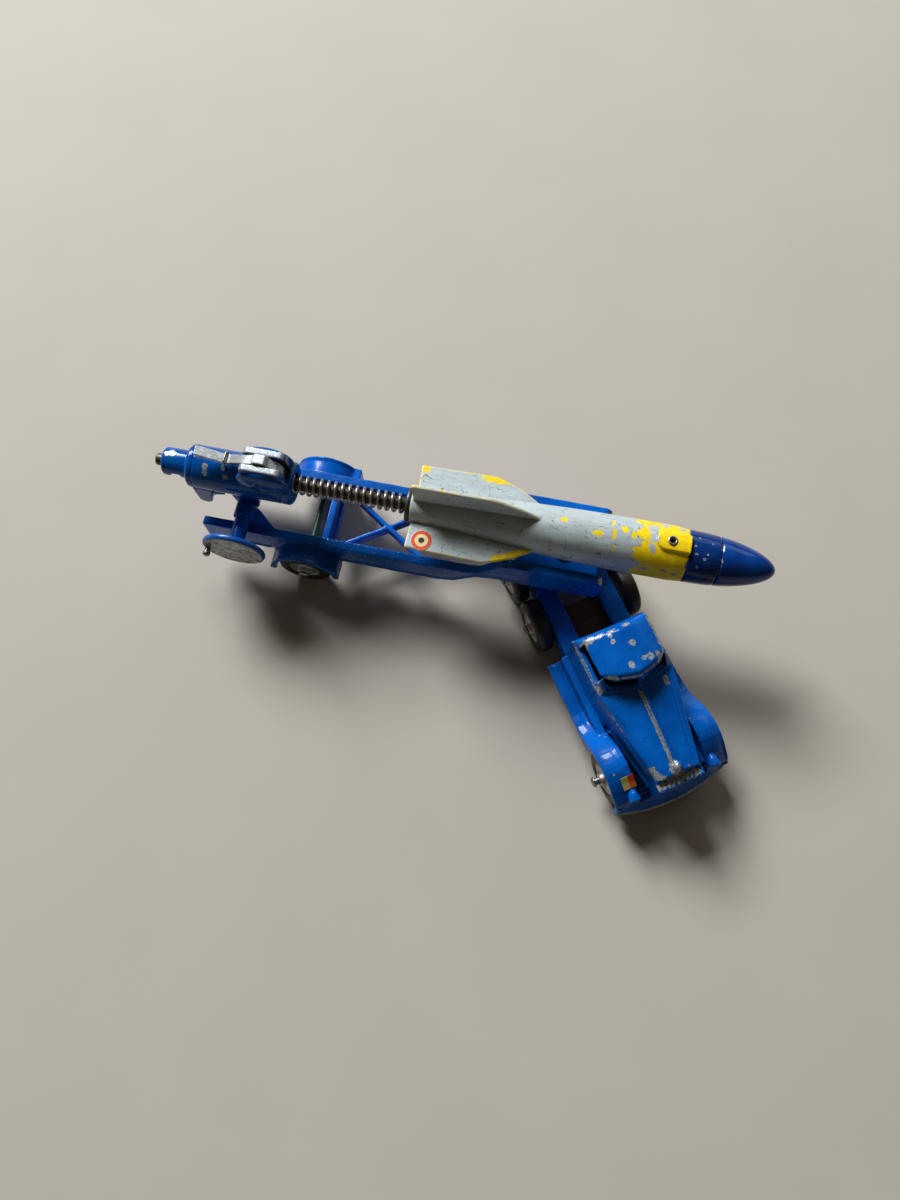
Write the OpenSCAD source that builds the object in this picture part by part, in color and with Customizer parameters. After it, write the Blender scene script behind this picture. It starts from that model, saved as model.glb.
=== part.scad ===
// Die-cast rocket carrier: a six-wheeled bonneted tractor, a launcher trailer
// that pivots on its kingpin, and a spring-fired rocket.
// Trailer frame: X forward, Y to the far side, Z up, X = 0 at the trailer axle.
// Tractor frame: X forward from the kingpin, Y to its left.

/* [Wheels] */
// Radius of all eight tyres
tyre_r = 9.25; // [9:0.05:9.5]
// Width of a tyre
tyre_w = 5.2; // [4.8:0.1:5.3]
// Radius of the turned hub inside the tyre
hub_r = 5.5; // [5:0.1:6]
// Radius of the steel axles
axle_r = 1.15; // [1:0.05:1.3]
// Distance from the centre line to a tyre's outer face
track_y = 19.2; // [19.2:0.1:19.6]

/* [Trailer] */
// Inner face of the side rails from the centre line
rail_in = 10.35; // [10:0.05:10.6]
// Thickness of a side rail
rail_t = 3.2; // [2.8:0.1:3.3]
// Height of the low rails' top edge
rail_top = 22.2; // [21.5:0.1:22.5]
// Depth of the low rails
rail_depth = 11.4; // [10:0.1:12]
// Rear end of the rails, behind the axle
rail_rear = -35.6; // [-38:0.1:-33]
// Front end of the raised rails
rail_front = 100.5; // [99:0.1:102]
// Height of the raised rails' top edge
neck_top = 34.1; // [33:0.1:34.5]
// Depth of the raised rails
neck_depth = 12.6; // [12:0.1:12.8]
// Kingpin ahead of the trailer axle
kingpin_x = 87.6; // [86:0.1:89]

/* [Launcher] */
// Height of the launcher and rocket axis
bore_z = 38.2; // [38:0.1:39]
// Radius of the main launcher tube
tube_r = 7.1; // [6.8:0.1:7.4]
// Rear end of the main tube
tube_rear = -38.8; // [-39.5:0.1:-38]
// Front end of the main tube
tube_front = -3.4; // [-4:0.1:-3]
// Elevating shaft behind the trailer axle
shaft_x = -21.3; // [-22:0.1:-20.5]
// Height of the elevating shaft
shaft_z = 25.2; // [25:0.1:25.6]
// Radius of the elevating shaft
shaft_r = 2.6; // [2.4:0.1:2.7]
// Radius of the hand wheel
wheel_r = 10.6; // [10:0.1:11]
// Radius of the plunger rod
rod_r = 2; // [1.8:0.1:2.1]
// Outer radius of the firing spring
spring_r = 3.3; // [3.2:0.05:3.4]
// Diameter of the spring wire
wire_d = 1; // [0.7:0.05:1.05]

/* [Rocket] */
// Tail end of the rocket
tail_x = 35.5; // [35.4:0.1:36]
// Joint between the body and the nose band
band_x = 124.4; // [124:0.1:126]
// Joint between the nose band and the tip
tip_x = 134.3; // [134:0.1:135]
// Point of the nose
nose_x = 153; // [151:0.1:155]
// Largest radius of the body
body_r = 8.75; // [8.4:0.05:8.9]
// Reach of the fins from the axis
fin_r = 15.3; // [14.5:0.1:15.5]
// Thickness of a fin
fin_t = 1.2; // [1:0.1:1.4]

/* [Tractor] */
// How far the tractor is turned to the right on the kingpin
turn = 55.4; // [50:0.1:60]
// Front axle ahead of the kingpin
front_axle = 72.5; // [72:0.1:73]
// How much further the front axle's near end stands out
front_out = 1.5; // [0:0.1:2]
// Leading rear axle ahead of the kingpin
mid_axle = 16.6; // [16.4:0.1:17]
// Trailing rear axle ahead of the kingpin
rear_axle = -2.8; // [-3.2:0.1:-2.6]
// Top of the tractor rails
sill_z = 14.3; // [14:0.1:14.5]
// Half width over the wings
wing_y = 20.3; // [20:0.1:20.5]
// Front of the wings
wing_front = 84; // [83.5:0.1:84.5]
// Height of the bonnet at the windscreen
cowl_z = 30; // [29.5:0.1:30.5]
// Height of the bonnet at the grille
grille_z = 26.8; // [26:0.1:27.5]
// Height of the roof's edge
eave_z = 36.2; // [35.5:0.1:36.5]
// Height of the roof's crown
roof_z = 39.4; // [39:0.1:39.6]

/* [Hidden] */
$fn = 64;

running = 0.05;                          // radial clearance of a turning fit
press = 0.02;                            // radial clearance of a held pin
rail_out = rail_in + rail_t;
rail_bot = rail_top - rail_depth;
neck_bot = neck_top - neck_depth;
deck_bot = 20;                           // plate that carries the kingpin, low enough for
deck_top = 22;                           // the rocket's lowest fin to pass over it
kingpin_r = 2;
seat_bot = 12;                           // underside of the bridge under the kingpin seat
washer_t = 0.5;
seat_r = 8.5;
sleeve_r = 3.4;
sleeve_in = 4.6;                         // sleeve's end beside the launcher leg
axle_end = 21.4;                         // peened end of every axle
axle_head_r = 1.75;
hub_boss = 1;                            // hub centre stands proud of the tyre
guard_r = 11.3;                          // mudguard outer radius
guard_t = 1.2;
guard_y = 20;
hand_wheel_in = guard_y + 0.45;
hand_wheel_t = 2.2;
peg_arm = 8.6;                           // crank peg from the hand wheel's centre
rod_rear = -50.6;
barrel_r = 4.6;
barrel_rear = -47.7;
chamber_r = spring_r + 0.25;
chamber_rear = -24;
lug_half = 6.6;                          // half width of the lug below the breech
cheek_in = 1.9;
cheek_out = 4.2;
cheek_top = 51.2;
lever_pivot = [-12.9, 49.2];             // trigger pivot, X and Z
lever_pin_r = 0.8;
lever_half = 1.6;
flange_r = 5.8;
flange_t = 1.4;
flange_x = tail_x - flange_t - 0.05;
spigot_r = 2.9;
spigot_len = 9;
spring_coils = 24;
spring_steps = 16;                       // rings in each coil of the spring
wire_sides = 6;
shell_t = 1.5;                           // wall of the cab and bonnet
frame_in = 6.3;                          // tractor rails, inner and outer faces
frame_out = 13;
frame_bot = 7.4;
frame_rear = -12.5;
cab_rear = 30.5;
cab_front = 50.3;
cab_y = 12.9;
eave_y = 11.6;
roof_round = 2;                          // rounding of the roof's edges
bonnet_y = 7.2;
bonnet_front = 81.5;
post_r = 2.3;                            // riveted posts inside the cab casting
post_front = 62;
post_rear = 34.6;
plate_z = 10.9;
plate_t = 0.8;
arch_r = tyre_r + 0.9;
sticker_t = 0.12;
seat_x = 117;                            // rear of the nose band's plug inside the body
peg_x = 127;                             // rear of the tip's peg inside the band
eyelet_x = 118.4;
eyelet_r = 1.6;
eyelet_hole = 0.8;
lug_top = body_r + 0.9;
roundel_r = 3.4;
roundel_at = [41.2, -11.6];

// The row's origin lies on the ground below the middle of the whole object.
reach_near = wing_front * sin(turn) + wing_y * cos(turn);
centre_x = (nose_x + rod_rear) / 2;
centre_y = (axle_end - reach_near) / 2;

module placed() translate([-centre_x, -centre_y, 0]) children();

module on_tractor()
    placed() translate([kingpin_x, 0, 0]) rotate([0, 0, -turn]) children();

// Extrudes an outline in the XZ plane from y0 to y0 + t.
module side_plate(y0, t)
    translate([0, y0 + t, 0]) rotate([90, 0, 0]) linear_extrude(t) children();

// A box given by its two opposite corners.
module box(low, high) translate(low) cube(high - low);

// A solid of revolution about the X axis; its outline is drawn as [x, radius].
module turned()
    rotate([90, 0, 90]) rotate_extrude($fn = 96) rotate(90) mirror([0, 1]) children();

module across(x, z, r, y0, y1, fn = 48)
    translate([x, y1, z]) rotate([90, 0, 0]) cylinder(r = r, h = y1 - y0, $fn = fn);

// ---- wheels and axles ----

// Places a wheel drawn from its inner face, at z = 0, outwards.
module wheel_at(x, side)
    translate([x, side * (track_y - tyre_w), tyre_r]) rotate([-90 * side, 0, 0]) children();

module tyre() color("#1b1a18") rotate_extrude($fn = 96) polygon([
    [hub_r, 0.5], [hub_r + 0.5, 0], [8.2, 0], [8.9, 0.4], [tyre_r, 1.2],
    [tyre_r, tyre_w - 1.2], [8.9, tyre_w - 0.4], [8.2, tyre_w],
    [hub_r + 0.5, tyre_w], [hub_r, tyre_w - 0.5]]);

module hub() color("#b9b7ae") rotate_extrude($fn = 96) polygon([
    [axle_r + running, 0.3], [hub_r, 0.5], [hub_r, tyre_w - 0.5],
    [hub_r - 0.5, tyre_w - 0.3], [hub_r - 1, tyre_w - 0.9], [2.6, tyre_w - 1.3],
    [2.2, tyre_w + hub_boss - 0.4], [1.8, tyre_w + hub_boss],
    [axle_r + running, tyre_w + hub_boss]]);

// Axle rod with peened heads; out lets its near end stand further out.
module axle(x, out = 0) color("#8e8c86") translate([x, 0, tyre_r]) rotate([90, 0, 0])
    rotate_extrude() polygon([
        [0, -axle_end], [axle_head_r - 0.6, -axle_end], [axle_head_r, -axle_end + 0.5],
        [axle_head_r, -axle_end + 1], [axle_r, -axle_end + 1],
        [axle_r, axle_end + out - 1], [axle_head_r, axle_end + out - 1],
        [axle_head_r, axle_end + out - 0.5], [axle_head_r - 0.6, axle_end + out],
        [0, axle_end + out]]);

module axle_bore(x) across(x, tyre_r, axle_r + press, -rail_out - 1, rail_out + 1);

// ---- trailer ----

module rail_outline() polygon([
    [rail_rear, rail_bot], [46, rail_bot], [52, rail_bot + 1.6], [60, neck_bot - 1.6],
    [66, neck_bot], [rail_front - 1, neck_bot], [rail_front, neck_bot + 1],
    [rail_front, neck_top - 1.6], [rail_front - 1.6, neck_top], [70.5, neck_top],
    [67.5, neck_top - 1.2], [60.5, rail_top + 1.4], [57, rail_top], [rail_rear, rail_top]]);

module guard_outline() translate([0, tyre_r]) difference() {
    union() {
        circle(guard_r);
        polygon([[-7, 9], [-guard_r, 3.6], [-12.6, -0.9], [-11, -0.9], [-9.4, 3]]);
        translate([7, -0.9]) square([5.3, 7.6]);
    }
    circle(guard_r - guard_t);
    translate([-20, -20]) square([40, 19.1]);
}

// Web that ties a bearing sleeve to its rail.
module gusset() linear_extrude(4.6) polygon([
    [shaft_x - 3, rail_in + 0.3], [-10.8, rail_in + 0.3], [-17, 5.4],
    [-18.2, sleeve_in], [shaft_x - 2.4, sleeve_in]]);

module trailer_frame() color("#0f4f9c") placed() difference() {
    union() {
        for (side = [0, 1]) mirror([0, side, 0]) {
            side_plate(rail_in, rail_t) rail_outline();
            side_plate(rail_out - 0.3, guard_y - rail_out + 0.3) guard_outline();
            side_plate(guard_y - 0.8, 0.8) translate([0, tyre_r]) difference() {
                circle(guard_r + 0.4);
                circle(guard_r - guard_t);
                translate([-20, -20]) square([40, 20]);
            }
            box([-3, rail_in, tyre_r - 2.4], [3, rail_out, rail_bot + 1]);
            across(shaft_x, shaft_z, sleeve_r, sleeve_in, rail_in);
            translate([0, 0, rail_top - 3]) gusset();
        }
        box([4.6, -rail_in - 0.2, 11], [8.8, rail_in + 0.2, 14.6]);
        box([5.3, -rail_in - 0.2, 14], [7.7, rail_in + 0.2, 20]);
        intersection() {
            for (a = [-1, 1])
                translate([26.4, 0, 12]) rotate([0, 0, a * 33.4])
                    translate([-22, -0.8, 0]) cube([44, 1.6, 4.4]);
            box([9, -rail_in - 0.2, 11], [45, rail_in + 0.2, 18]);
        }
        box([72, -rail_in - 0.2, deck_bot], [rail_front - 1, rail_in + 0.2, deck_top]);
        for (s = [0, 1]) mirror([0, s, 0])
            box([72, rail_in - 1.8, deck_bot], [rail_front - 1, rail_in + 0.2, neck_bot + 3]);
    }
    across(shaft_x, shaft_z, shaft_r + running, -rail_out, rail_out);
    axle_bore(0);
    translate([kingpin_x, 0, 0]) cylinder(r = kingpin_r + press, h = neck_top);
}

module kingpin() color("#8b8a84") placed() translate([kingpin_x, 0, 0])
    rotate_extrude() polygon([
        [0, seat_bot - 1.4], [2.8, seat_bot - 1.4], [2.8, seat_bot - 0.1],
        [kingpin_r, seat_bot - 0.1], [kingpin_r, deck_top],
        [3.4, deck_top], [3, deck_top + 0.6], [0, deck_top + 0.7]]);

module kingpin_washer() color("#8b8a84") placed()
    translate([kingpin_x, 0, deck_bot - washer_t - 0.02]) difference() {
        cylinder(r = 5, h = washer_t - 0.02);
        translate([0, 0, -1]) cylinder(r = kingpin_r + running, h = 3);
    }

// ---- launcher ----

module cheek_outline() hull() {
    translate([-17.4, cheek_top - 1.8]) circle(1.8, $fn = 32);
    translate([-7.2, cheek_top - 1.8]) circle(1.8, $fn = 32);
    translate([-19.2, bore_z + 4]) square([14.6, 1]);
}

module launcher_casting() color("#0d4388") placed() difference() {
    union() {
        translate([0, 0, bore_z]) turned() polygon([
            [barrel_rear, 0], [barrel_rear, barrel_r - 0.6], [barrel_rear + 0.6, barrel_r],
            [tube_rear, barrel_r], [tube_rear, tube_r - 0.8], [tube_rear + 0.8, tube_r],
            [tube_front - 0.6, tube_r], [tube_front, tube_r - 0.6], [tube_front, 0]]);
        for (y0 = [-cheek_out, cheek_in]) side_plate(y0, cheek_out - cheek_in) cheek_outline();
        // leg down to the shaft
        side_plate(-4.3, 8.6) hull() {
            translate([shaft_x, shaft_z]) circle(4.1, $fn = 32);
            translate([-26.5, bore_z - 6]) square([10.5, 2]);
        }
        // rounded lug below the breech
        side_plate(-lug_half, 2 * lug_half) hull() {
            translate([-35.4, 26.9]) circle(1.9, $fn = 32);
            translate([-34.6, 26.9]) circle(1.9, $fn = 32);
            translate([tube_rear + 1.2, bore_z - 5]) square([7, 2]);
        }
        // fillet from the lug to the underside of the tube
        side_plate(-lug_half + 1, 2 * lug_half - 2) polygon([
            [-34, 27], [-32, 29.2], [-30, 30.6], [-27.4, 31.4], [-27.4, 33.4], [-35, 33.4]]);
        // parting line along the near and far sides
        for (side = [0, 1]) mirror([0, side, 0])
            box([tube_rear + 2, tube_r - 0.6, bore_z - 0.3], [tube_front - 2, tube_r + 0.15, bore_z + 0.3]);
    }
    // rod guide, spring chamber and sear slot
    translate([0, 0, bore_z]) rotate([0, 90, 0]) translate([0, 0, barrel_rear - 1])
        cylinder(r = rod_r + running, h = 60);
    translate([chamber_rear, 0, bore_z]) rotate([0, 90, 0]) cylinder(r = chamber_r, h = 30);
    box([-19.4, -cheek_in, bore_z], [-4.6, cheek_in, cheek_top + 1]);
    // clearance notch in the breech barrel's near side
    box([-45.6, -barrel_r - 1, bore_z - barrel_r - 1], [-41.2, -1.6, bore_z + 0.6]);
    across(shaft_x, shaft_z, shaft_r + press, -5, 5);
    across(lever_pivot[0], lever_pivot[1], lever_pin_r + press, -5, 5, 32);
    for (y = [-2.15, 2.15]) translate([-24.6, y, bore_z + 4]) cylinder(r = 0.45, h = 5, $fn = 24);
}

module elevating_shaft() color("#1468c4") placed()
    across(shaft_x, shaft_z, shaft_r, -hand_wheel_in, rail_in + 2);

module hand_wheel() color("#9aa0a0") placed() translate([shaft_x, -hand_wheel_in, shaft_z])
    rotate([90, 0, 0]) rotate_extrude($fn = 96) polygon([
        [0, 0], [wheel_r - 0.5, 0], [wheel_r, 0.5], [wheel_r, hand_wheel_t - 0.4],
        [wheel_r - 0.4, hand_wheel_t], [0, hand_wheel_t]]);

module hand_wheel_peg() color("#4b4d4f") placed()
    across(shaft_x - peg_arm, shaft_z, 1.2, -hand_wheel_in - hand_wheel_t - 3.2,
        -hand_wheel_in - hand_wheel_t, 32);

module plunger_rod() color("#5c5a56") placed() translate([0, 0, bore_z]) turned() polygon([
    [rod_rear, 0], [rod_rear, rod_r - 0.4], [rod_rear + 0.4, rod_r], [-3, rod_r],
    [flange_x, rod_r], [flange_x, 0]]);

module pusher_flange() color("#3d3f40") placed() translate([0, 0, bore_z]) turned() polygon([
    [flange_x, 0], [flange_x, flange_r - 0.3], [flange_x + 0.3, flange_r],
    [flange_x + flange_t - 0.3, flange_r], [flange_x + flange_t, flange_r - 0.3],
    [flange_x + flange_t, spigot_r], [flange_x + flange_t + spigot_len - 0.6, spigot_r],
    [flange_x + flange_t + spigot_len, spigot_r - 0.6], [flange_x + flange_t + spigot_len, 0]]);

// Ring of points round the spring wire at turn fraction u of the whole spring.
spring_x0 = chamber_rear + wire_d / 2 + 0.02;
spring_x1 = flange_x - wire_d / 2 - 0.02;
function wire_ring(u) = let (a = 360 * spring_coils * u, mid = spring_r - wire_d / 2) [
    for (k = [0 : wire_sides - 1]) let (b = 360 * k / wire_sides,
        r = mid + wire_d / 2 * cos(b))
        [spring_x0 + (spring_x1 - spring_x0) * u + wire_d / 2 * sin(b), r * cos(a), r * sin(a)]];

module firing_spring() color("#77726a") placed() translate([0, 0, bore_z]) {
    rings = spring_coils * spring_steps;
    points = [for (i = [0 : rings]) each wire_ring(i / rings)];
    sides = [for (i = [0 : rings - 1], k = [0 : wire_sides - 1])
        let (a = i * wire_sides, b = a + wire_sides, n = (k + 1) % wire_sides)
        [a + k, b + k, b + n, a + n]];
    first = [for (k = [0 : wire_sides - 1]) k];
    last = [for (k = [wire_sides - 1 : -1 : 0]) rings * wire_sides + k];
    polyhedron(points, concat([first, last], sides));
}

module lever_outline() polygon([
    [-34.2, 50.8], [-34.2, 49.7], [-25, 47.2], [-23.6, 47.3], [-15.6, 49.4],
    [-14.4, 47.8], [-12, 47.5], [-9.6, 46.6], [-7.8, 44.4], [-6.4, 42.6], [-5.8, 43.2],
    [-6.2, 46.4], [-7.6, 49], [-10, 50.6], [-11.2, 52.2], [-14.6, 52.2], [-15.4, 51],
    [-23.8, 48.5], [-25, 48.4]]);

module trigger_lever() color("#c9c7bf") placed() difference() {
    side_plate(-lever_half, 2 * lever_half) lever_outline();
    across(lever_pivot[0], lever_pivot[1], lever_pin_r + running, -3, 3, 32);
}

module trigger_pin() color("#8b8a84") placed()
    across(lever_pivot[0], lever_pivot[1], lever_pin_r, -cheek_out - 0.4, cheek_out + 0.4, 32);

// Wire staple that keeps the lever from lifting too far.
module trigger_staple() color("#55524c") placed() {
    for (y = [-2.15, 2.15]) translate([-24.6, y, bore_z + 4.4]) cylinder(r = 0.4, h = 6.6, $fn = 24);
    across(-24.6, bore_z + 11, 0.4, -2.5, 2.5, 24);
}

// ---- rocket ----

module body_outline() polygon(concat(
    [[tail_x, 3.05], [tail_x, 5.2], [tail_x + 0.5, 5.7]],
    [for (i = [0 : 8]) let (t = i / 8) [44 + 64 * t, 5.95 + (body_r - 5.95) * sin(90 * t)]],
    [[120, body_r], [band_x - 0.3, 8.4], [band_x, 8.05], [band_x, 6.9],
     [52, 4.6], [46, 3.05]]));

module fin() rotate([90, 0, 0]) translate([0, 0, -fin_t / 2]) linear_extrude(fin_t) polygon([
    [tail_x + 1, 4.6], [tail_x + 0.6, fin_r - 0.9], [tail_x + 1, fin_r - 0.5], [60.6, fin_r],
    [62, fin_r - 0.2], [66, 13.7], [71, 11.7], [80.5, 6]]);

module rocket_body() color("#8f9395") placed() translate([0, 0, bore_z]) difference() {
    union() {
        turned() body_outline();
        difference() {
            for (a = [0 : 90 : 270]) rotate([a, 0, 0]) fin();
            turned() polygon([[tail_x, 0], [tail_x, 5], [46, 5.6], [100, 7.6], [100, 0]]);
        }
        // riveted lug on top, ahead of the widest part
        intersection() {
            translate([0, 0, 4]) linear_extrude(lug_top - 4) hull() {
                translate([eyelet_x - 1.7, 0]) circle(3, $fn = 32);
                translate([band_x - 4, -3]) square([4, 6]);
            }
            turned() polygon([[108, 7.6], [108, lug_top], [band_x, lug_top], [band_x, 7.6]]);
        }
    }
    translate([eyelet_x, 0, 0]) cylinder(r = eyelet_r - 0.4 + press, h = 20, $fn = 32);
}

module nose_band() color("#16242f") placed() translate([0, 0, bore_z]) turned() polygon([
    [seat_x, 0], [seat_x, 6.6], [band_x, 6.85], [band_x, 8.2], [band_x + 0.3, 8.4],
    [tip_x - 3.6, 8.2], [tip_x - 0.3, 7.85], [tip_x, 7.5], [tip_x, 4.5], [peg_x, 4.5], [peg_x, 0]]);

module nose_tip() color("#0b2c50") placed() translate([0, 0, bore_z]) turned() polygon(concat(
    [[peg_x + 0.05, 0], [peg_x + 0.05, 4.45], [tip_x + 0.02, 4.45], [tip_x + 0.02, 7.4],
     [tip_x + 0.35, 7.85]],
    [for (i = [1 : 14]) let (t = sin(90 * i / 14))
        [tip_x + 0.35 + (nose_x - tip_x - 0.35) * t, 7.85 * sqrt(1 - pow(t, 1.4))]]));

module nose_eyelet() color("#c4c2b8") placed() translate([eyelet_x, 0, bore_z])
    rotate_extrude($fn = 48) polygon([
        [eyelet_hole, 7.9], [eyelet_r - 0.4, 7.9], [eyelet_r - 0.4, lug_top],
        [eyelet_r, lug_top], [eyelet_r - 0.1, lug_top + 0.35], [eyelet_hole, lug_top + 0.35]]);

module roundel_sticker() color("#e2502c") placed()
    translate([roundel_at[0], roundel_at[1], bore_z + fin_t / 2]) cylinder(r = roundel_r, h = sticker_t);

// ---- tractor ----

module tractor_chassis() color("#0f4f9c") on_tractor() difference() {
    union() {
        for (y0 = [-frame_out, frame_in])
            box([frame_rear, y0, frame_bot], [wing_front - 2, y0 + frame_out - frame_in, sill_z]);
        box([frame_rear, -frame_in - 0.1, frame_bot], [frame_rear + 3, frame_in + 0.1, sill_z]);
        box([-8.5, -frame_in - 0.1, seat_bot], [9, frame_in + 0.1, sill_z]);
        translate([0, 0, sill_z - 1]) cylinder(r = seat_r, h = deck_bot - washer_t - 0.04 - sill_z + 1);
    }
    for (x = [front_axle, mid_axle, rear_axle]) axle_bore(x);
    cylinder(r = kingpin_r + running, h = 40);
}

module floor_plate() color("#4a221b") on_tractor() difference() {
    box([14.8, -frame_in + 0.05, plate_z], [wing_front - 5, frame_in - 0.05, plate_z + plate_t]);
    for (x = [post_front, post_rear])
        translate([x, 0, 0]) cylinder(r = 1.2 + press, h = 40, $fn = 32);
}

module floor_rivet(x) color("#a9a79e") on_tractor() translate([x, 0, 0])
    rotate_extrude($fn = 48) polygon([
        [0, plate_z - 0.9], [1.6, plate_z - 0.7], [2, plate_z], [1.2, plate_z],
        [1.2, plate_z + 5], [0, plate_z + 5]]);

module wing_outline() polygon([
    [50, 8.6], [50, 10.6], [54, 11.4], [57, 13], [60, 15.6], [63, 18.7], [66, 21], [69, 22],
    [72, 22.2],
    [75, 21.4], [80, 18.2], [82.6, 15.6], [wing_front, 13], [wing_front, 6], [81.6, 6],
    [81.6, 8.6]]);

// Plan of the right and left wings together, narrowing towards the running boards.
module wing_plan() for (s = [0, 1]) mirror([0, s, 0]) linear_extrude(40) polygon([
    [50, 0], [50, wing_y - 0.6], [62, wing_y - 0.4], [70, wing_y - 0.1], [76, wing_y],
    [82, wing_y], [wing_front - 0.6, wing_y - 0.2], [wing_front, wing_y - 0.8], [wing_front, 0]]);

// Cab block; grow pushes its faces in or out.
module cab_solid(grow) hull() {
    box([cab_rear - grow, -cab_y - grow, sill_z + 0.1],
        [cab_front + grow, cab_y + grow, cowl_z - 1 + grow]);
    for (s = [-1, 1]) {
        for (x = [34, 44.4]) translate([x, s * (eave_y - roof_round), eave_z - roof_round])
            sphere(roof_round + grow, $fn = 24);
        for (x = [35, 46.8]) translate([x, s * 5.5, roof_z - 1.2 - roof_round])
            sphere(roof_round + grow, $fn = 24);
    }
    for (x = [35.6, 48.2]) translate([x, 0, roof_z - roof_round]) sphere(roof_round + grow, $fn = 24);
    translate([52 + grow, 0, cowl_z + 1]) sphere(0.8, $fn = 16);
}

module bonnet_solid(grow) hull() {
    box([cab_front - 2, -cab_y - grow, sill_z + 0.1], [cab_front, cab_y + grow, cowl_z + grow]);
    box([cab_front - 2, -3, cowl_z], [cab_front, 3, cowl_z + 1 + grow]);
    box([bonnet_front - 2 + grow, -bonnet_y - grow - 0.7, sill_z + 0.1],
        [bonnet_front + grow, bonnet_y + grow + 0.7, sill_z + 6]);
    box([bonnet_front - 2 + grow, -bonnet_y - grow, grille_z - 4],
        [bonnet_front - 0.6 + grow, bonnet_y + grow, grille_z - 0.6 + grow]);
    box([bonnet_front - 3 + grow, -2.5, grille_z], [bonnet_front - 1 + grow, 2.5, grille_z + 0.6 + grow]);
}

module cab_casting() color("#0d64b8") on_tractor() difference() {
    union() {
        difference() {
            union() {
                cab_solid(0);
                bonnet_solid(0);
            }
            difference() {
                union() {
                    translate([0, 0, -0.2]) cab_solid(-shell_t);
                    translate([0, 0, -0.2]) bonnet_solid(-shell_t);
                }
                for (x = [post_front, post_rear])
                    translate([x, 0, 0]) cylinder(r = post_r, h = 40, $fn = 32);
            }
            // openings: side windows, split windscreen and rear window
            box([34, -20, 30.4], [46, 20, 35.2]);
            for (s = [0, 1]) mirror([0, s, 0]) translate([44, 0, 0]) rotate([90, 0, 90])
                linear_extrude(10) polygon([[0.6, 31.2], [10.4, 31.2], [10.4, 35], [0.6, 36.4]]);
            box([28, -7, 28.6], [33, 7, 33.4]);
        }
        for (s = [0, 1]) mirror([0, s, 0]) {
            intersection() {
                side_plate(frame_out - 1, wing_y - frame_out + 1) wing_outline();
                wing_plan();
            }
            box([cab_rear + 0.8, frame_out + 0.15, 8.6], [58, wing_y - 0.6, 10.6]);
            box([cab_rear + 0.8, frame_out + 0.15, 8.6], [60, 15.2, sill_z + 1.2]);
            box([cab_rear + 0.8, cab_y - 0.6, sill_z + 0.1], [82, 15.2, sill_z + 1.2]);
            box([60, bonnet_y, sill_z + 0.1], [80.5, frame_out + 1, sill_z + 2.4]);
            // head lamp pods
            hull() {
                translate([80.9, 14.2, 18.2]) sphere(1.5, $fn = 24);
                translate([82.4, 14.2, 17.6]) rotate([0, 90, 0]) cylinder(r = 2, h = 0.8, $fn = 32);
            }
        }
        // spine and cap on the bonnet
        hull() {
            box([53.6, -0.6, cowl_z], [54.4, 0.6, cowl_z + 1.5]);
            box([78, -0.6, grille_z], [79, 0.6, grille_z + 1.3]);
        }
        translate([78.8, 0, grille_z + 1.2]) sphere(1.5, $fn = 24);
        // posts for the floor rivets
        for (x = [post_front, post_rear])
            translate([x, 0, plate_z + plate_t]) cylinder(r = post_r, h = 6, $fn = 32);
        // grille shell, apron and bumper
        box([bonnet_front - 1.8, -bonnet_y - 0.7, 8], [wing_front, bonnet_y + 0.7, grille_z - 2]);
        box([wing_front - 1.8, -wing_y, 6], [wing_front, wing_y, 12.5]);
        intersection() {
            translate([wing_front + 3.8 - 60, 0, 5]) union() {
                cylinder(r = 60, h = 1.3, $fn = 128);
                translate([0, 0, 1.3]) cylinder(r1 = 59.5, r2 = 56.6, h = 6.2, $fn = 128);
            }
            box([wing_front - 2, -wing_y, 5], [wing_front + 4, wing_y, 12.5]);
        }
    }
    // wheel arches and room for the chassis
    for (s = [-1, 1])
        across(front_axle, tyre_r, arch_r, s > 0 ? frame_out : -wing_y - 1,
            s > 0 ? wing_y + 1 : -frame_out, 96);
    box([front_axle - arch_r, -wing_y - 1, 0], [front_axle + arch_r, -frame_out, tyre_r]);
    box([front_axle - arch_r, frame_out, 0], [front_axle + arch_r, wing_y + 1, tyre_r]);
    difference() {
        box([0, -frame_out - 0.05, 0], [wing_front - 1.9, frame_out + 0.05, sill_z + 0.05]);
        for (x = [post_front, post_rear])
            translate([x, 0, plate_z + plate_t]) cylinder(r = post_r, h = 6, $fn = 32);
    }
    for (x = [post_front, post_rear])
        translate([x, 0, 0]) cylinder(r = 1.2 + press, h = plate_z + 5.2, $fn = 32);
}

module wing_sticker() color("#d8c860") on_tractor()
    translate([75, -16.4, 21.4]) rotate([0, atan2(3.2, 5), 0]) cube([4.6, 4.3, sticker_t]);

trailer_frame();
placed() axle(0);  // trailer_axle
placed() wheel_at(0, -1) hub();  // trailer_hub_near
placed() wheel_at(0, 1) hub();  // trailer_hub_far
placed() wheel_at(0, -1) tyre();  // trailer_tyre_near
placed() wheel_at(0, 1) tyre();  // trailer_tyre_far
kingpin();
kingpin_washer();
launcher_casting();
elevating_shaft();
hand_wheel();
hand_wheel_peg();
plunger_rod();
pusher_flange();
firing_spring();
trigger_lever();
trigger_pin();
trigger_staple();
rocket_body();
nose_band();
nose_tip();
nose_eyelet();
roundel_sticker();
tractor_chassis();
cab_casting();
floor_plate();
floor_rivet(post_front);  // floor_rivet_front
floor_rivet(post_rear);  // floor_rivet_rear
on_tractor() axle(front_axle, front_out);  // front_axle_rod
on_tractor() axle(mid_axle);  // mid_axle_rod
on_tractor() axle(rear_axle);  // rear_axle_rod
on_tractor() wheel_at(front_axle, -1) hub();  // front_hub_right
on_tractor() wheel_at(front_axle, 1) hub();  // front_hub_left
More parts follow.
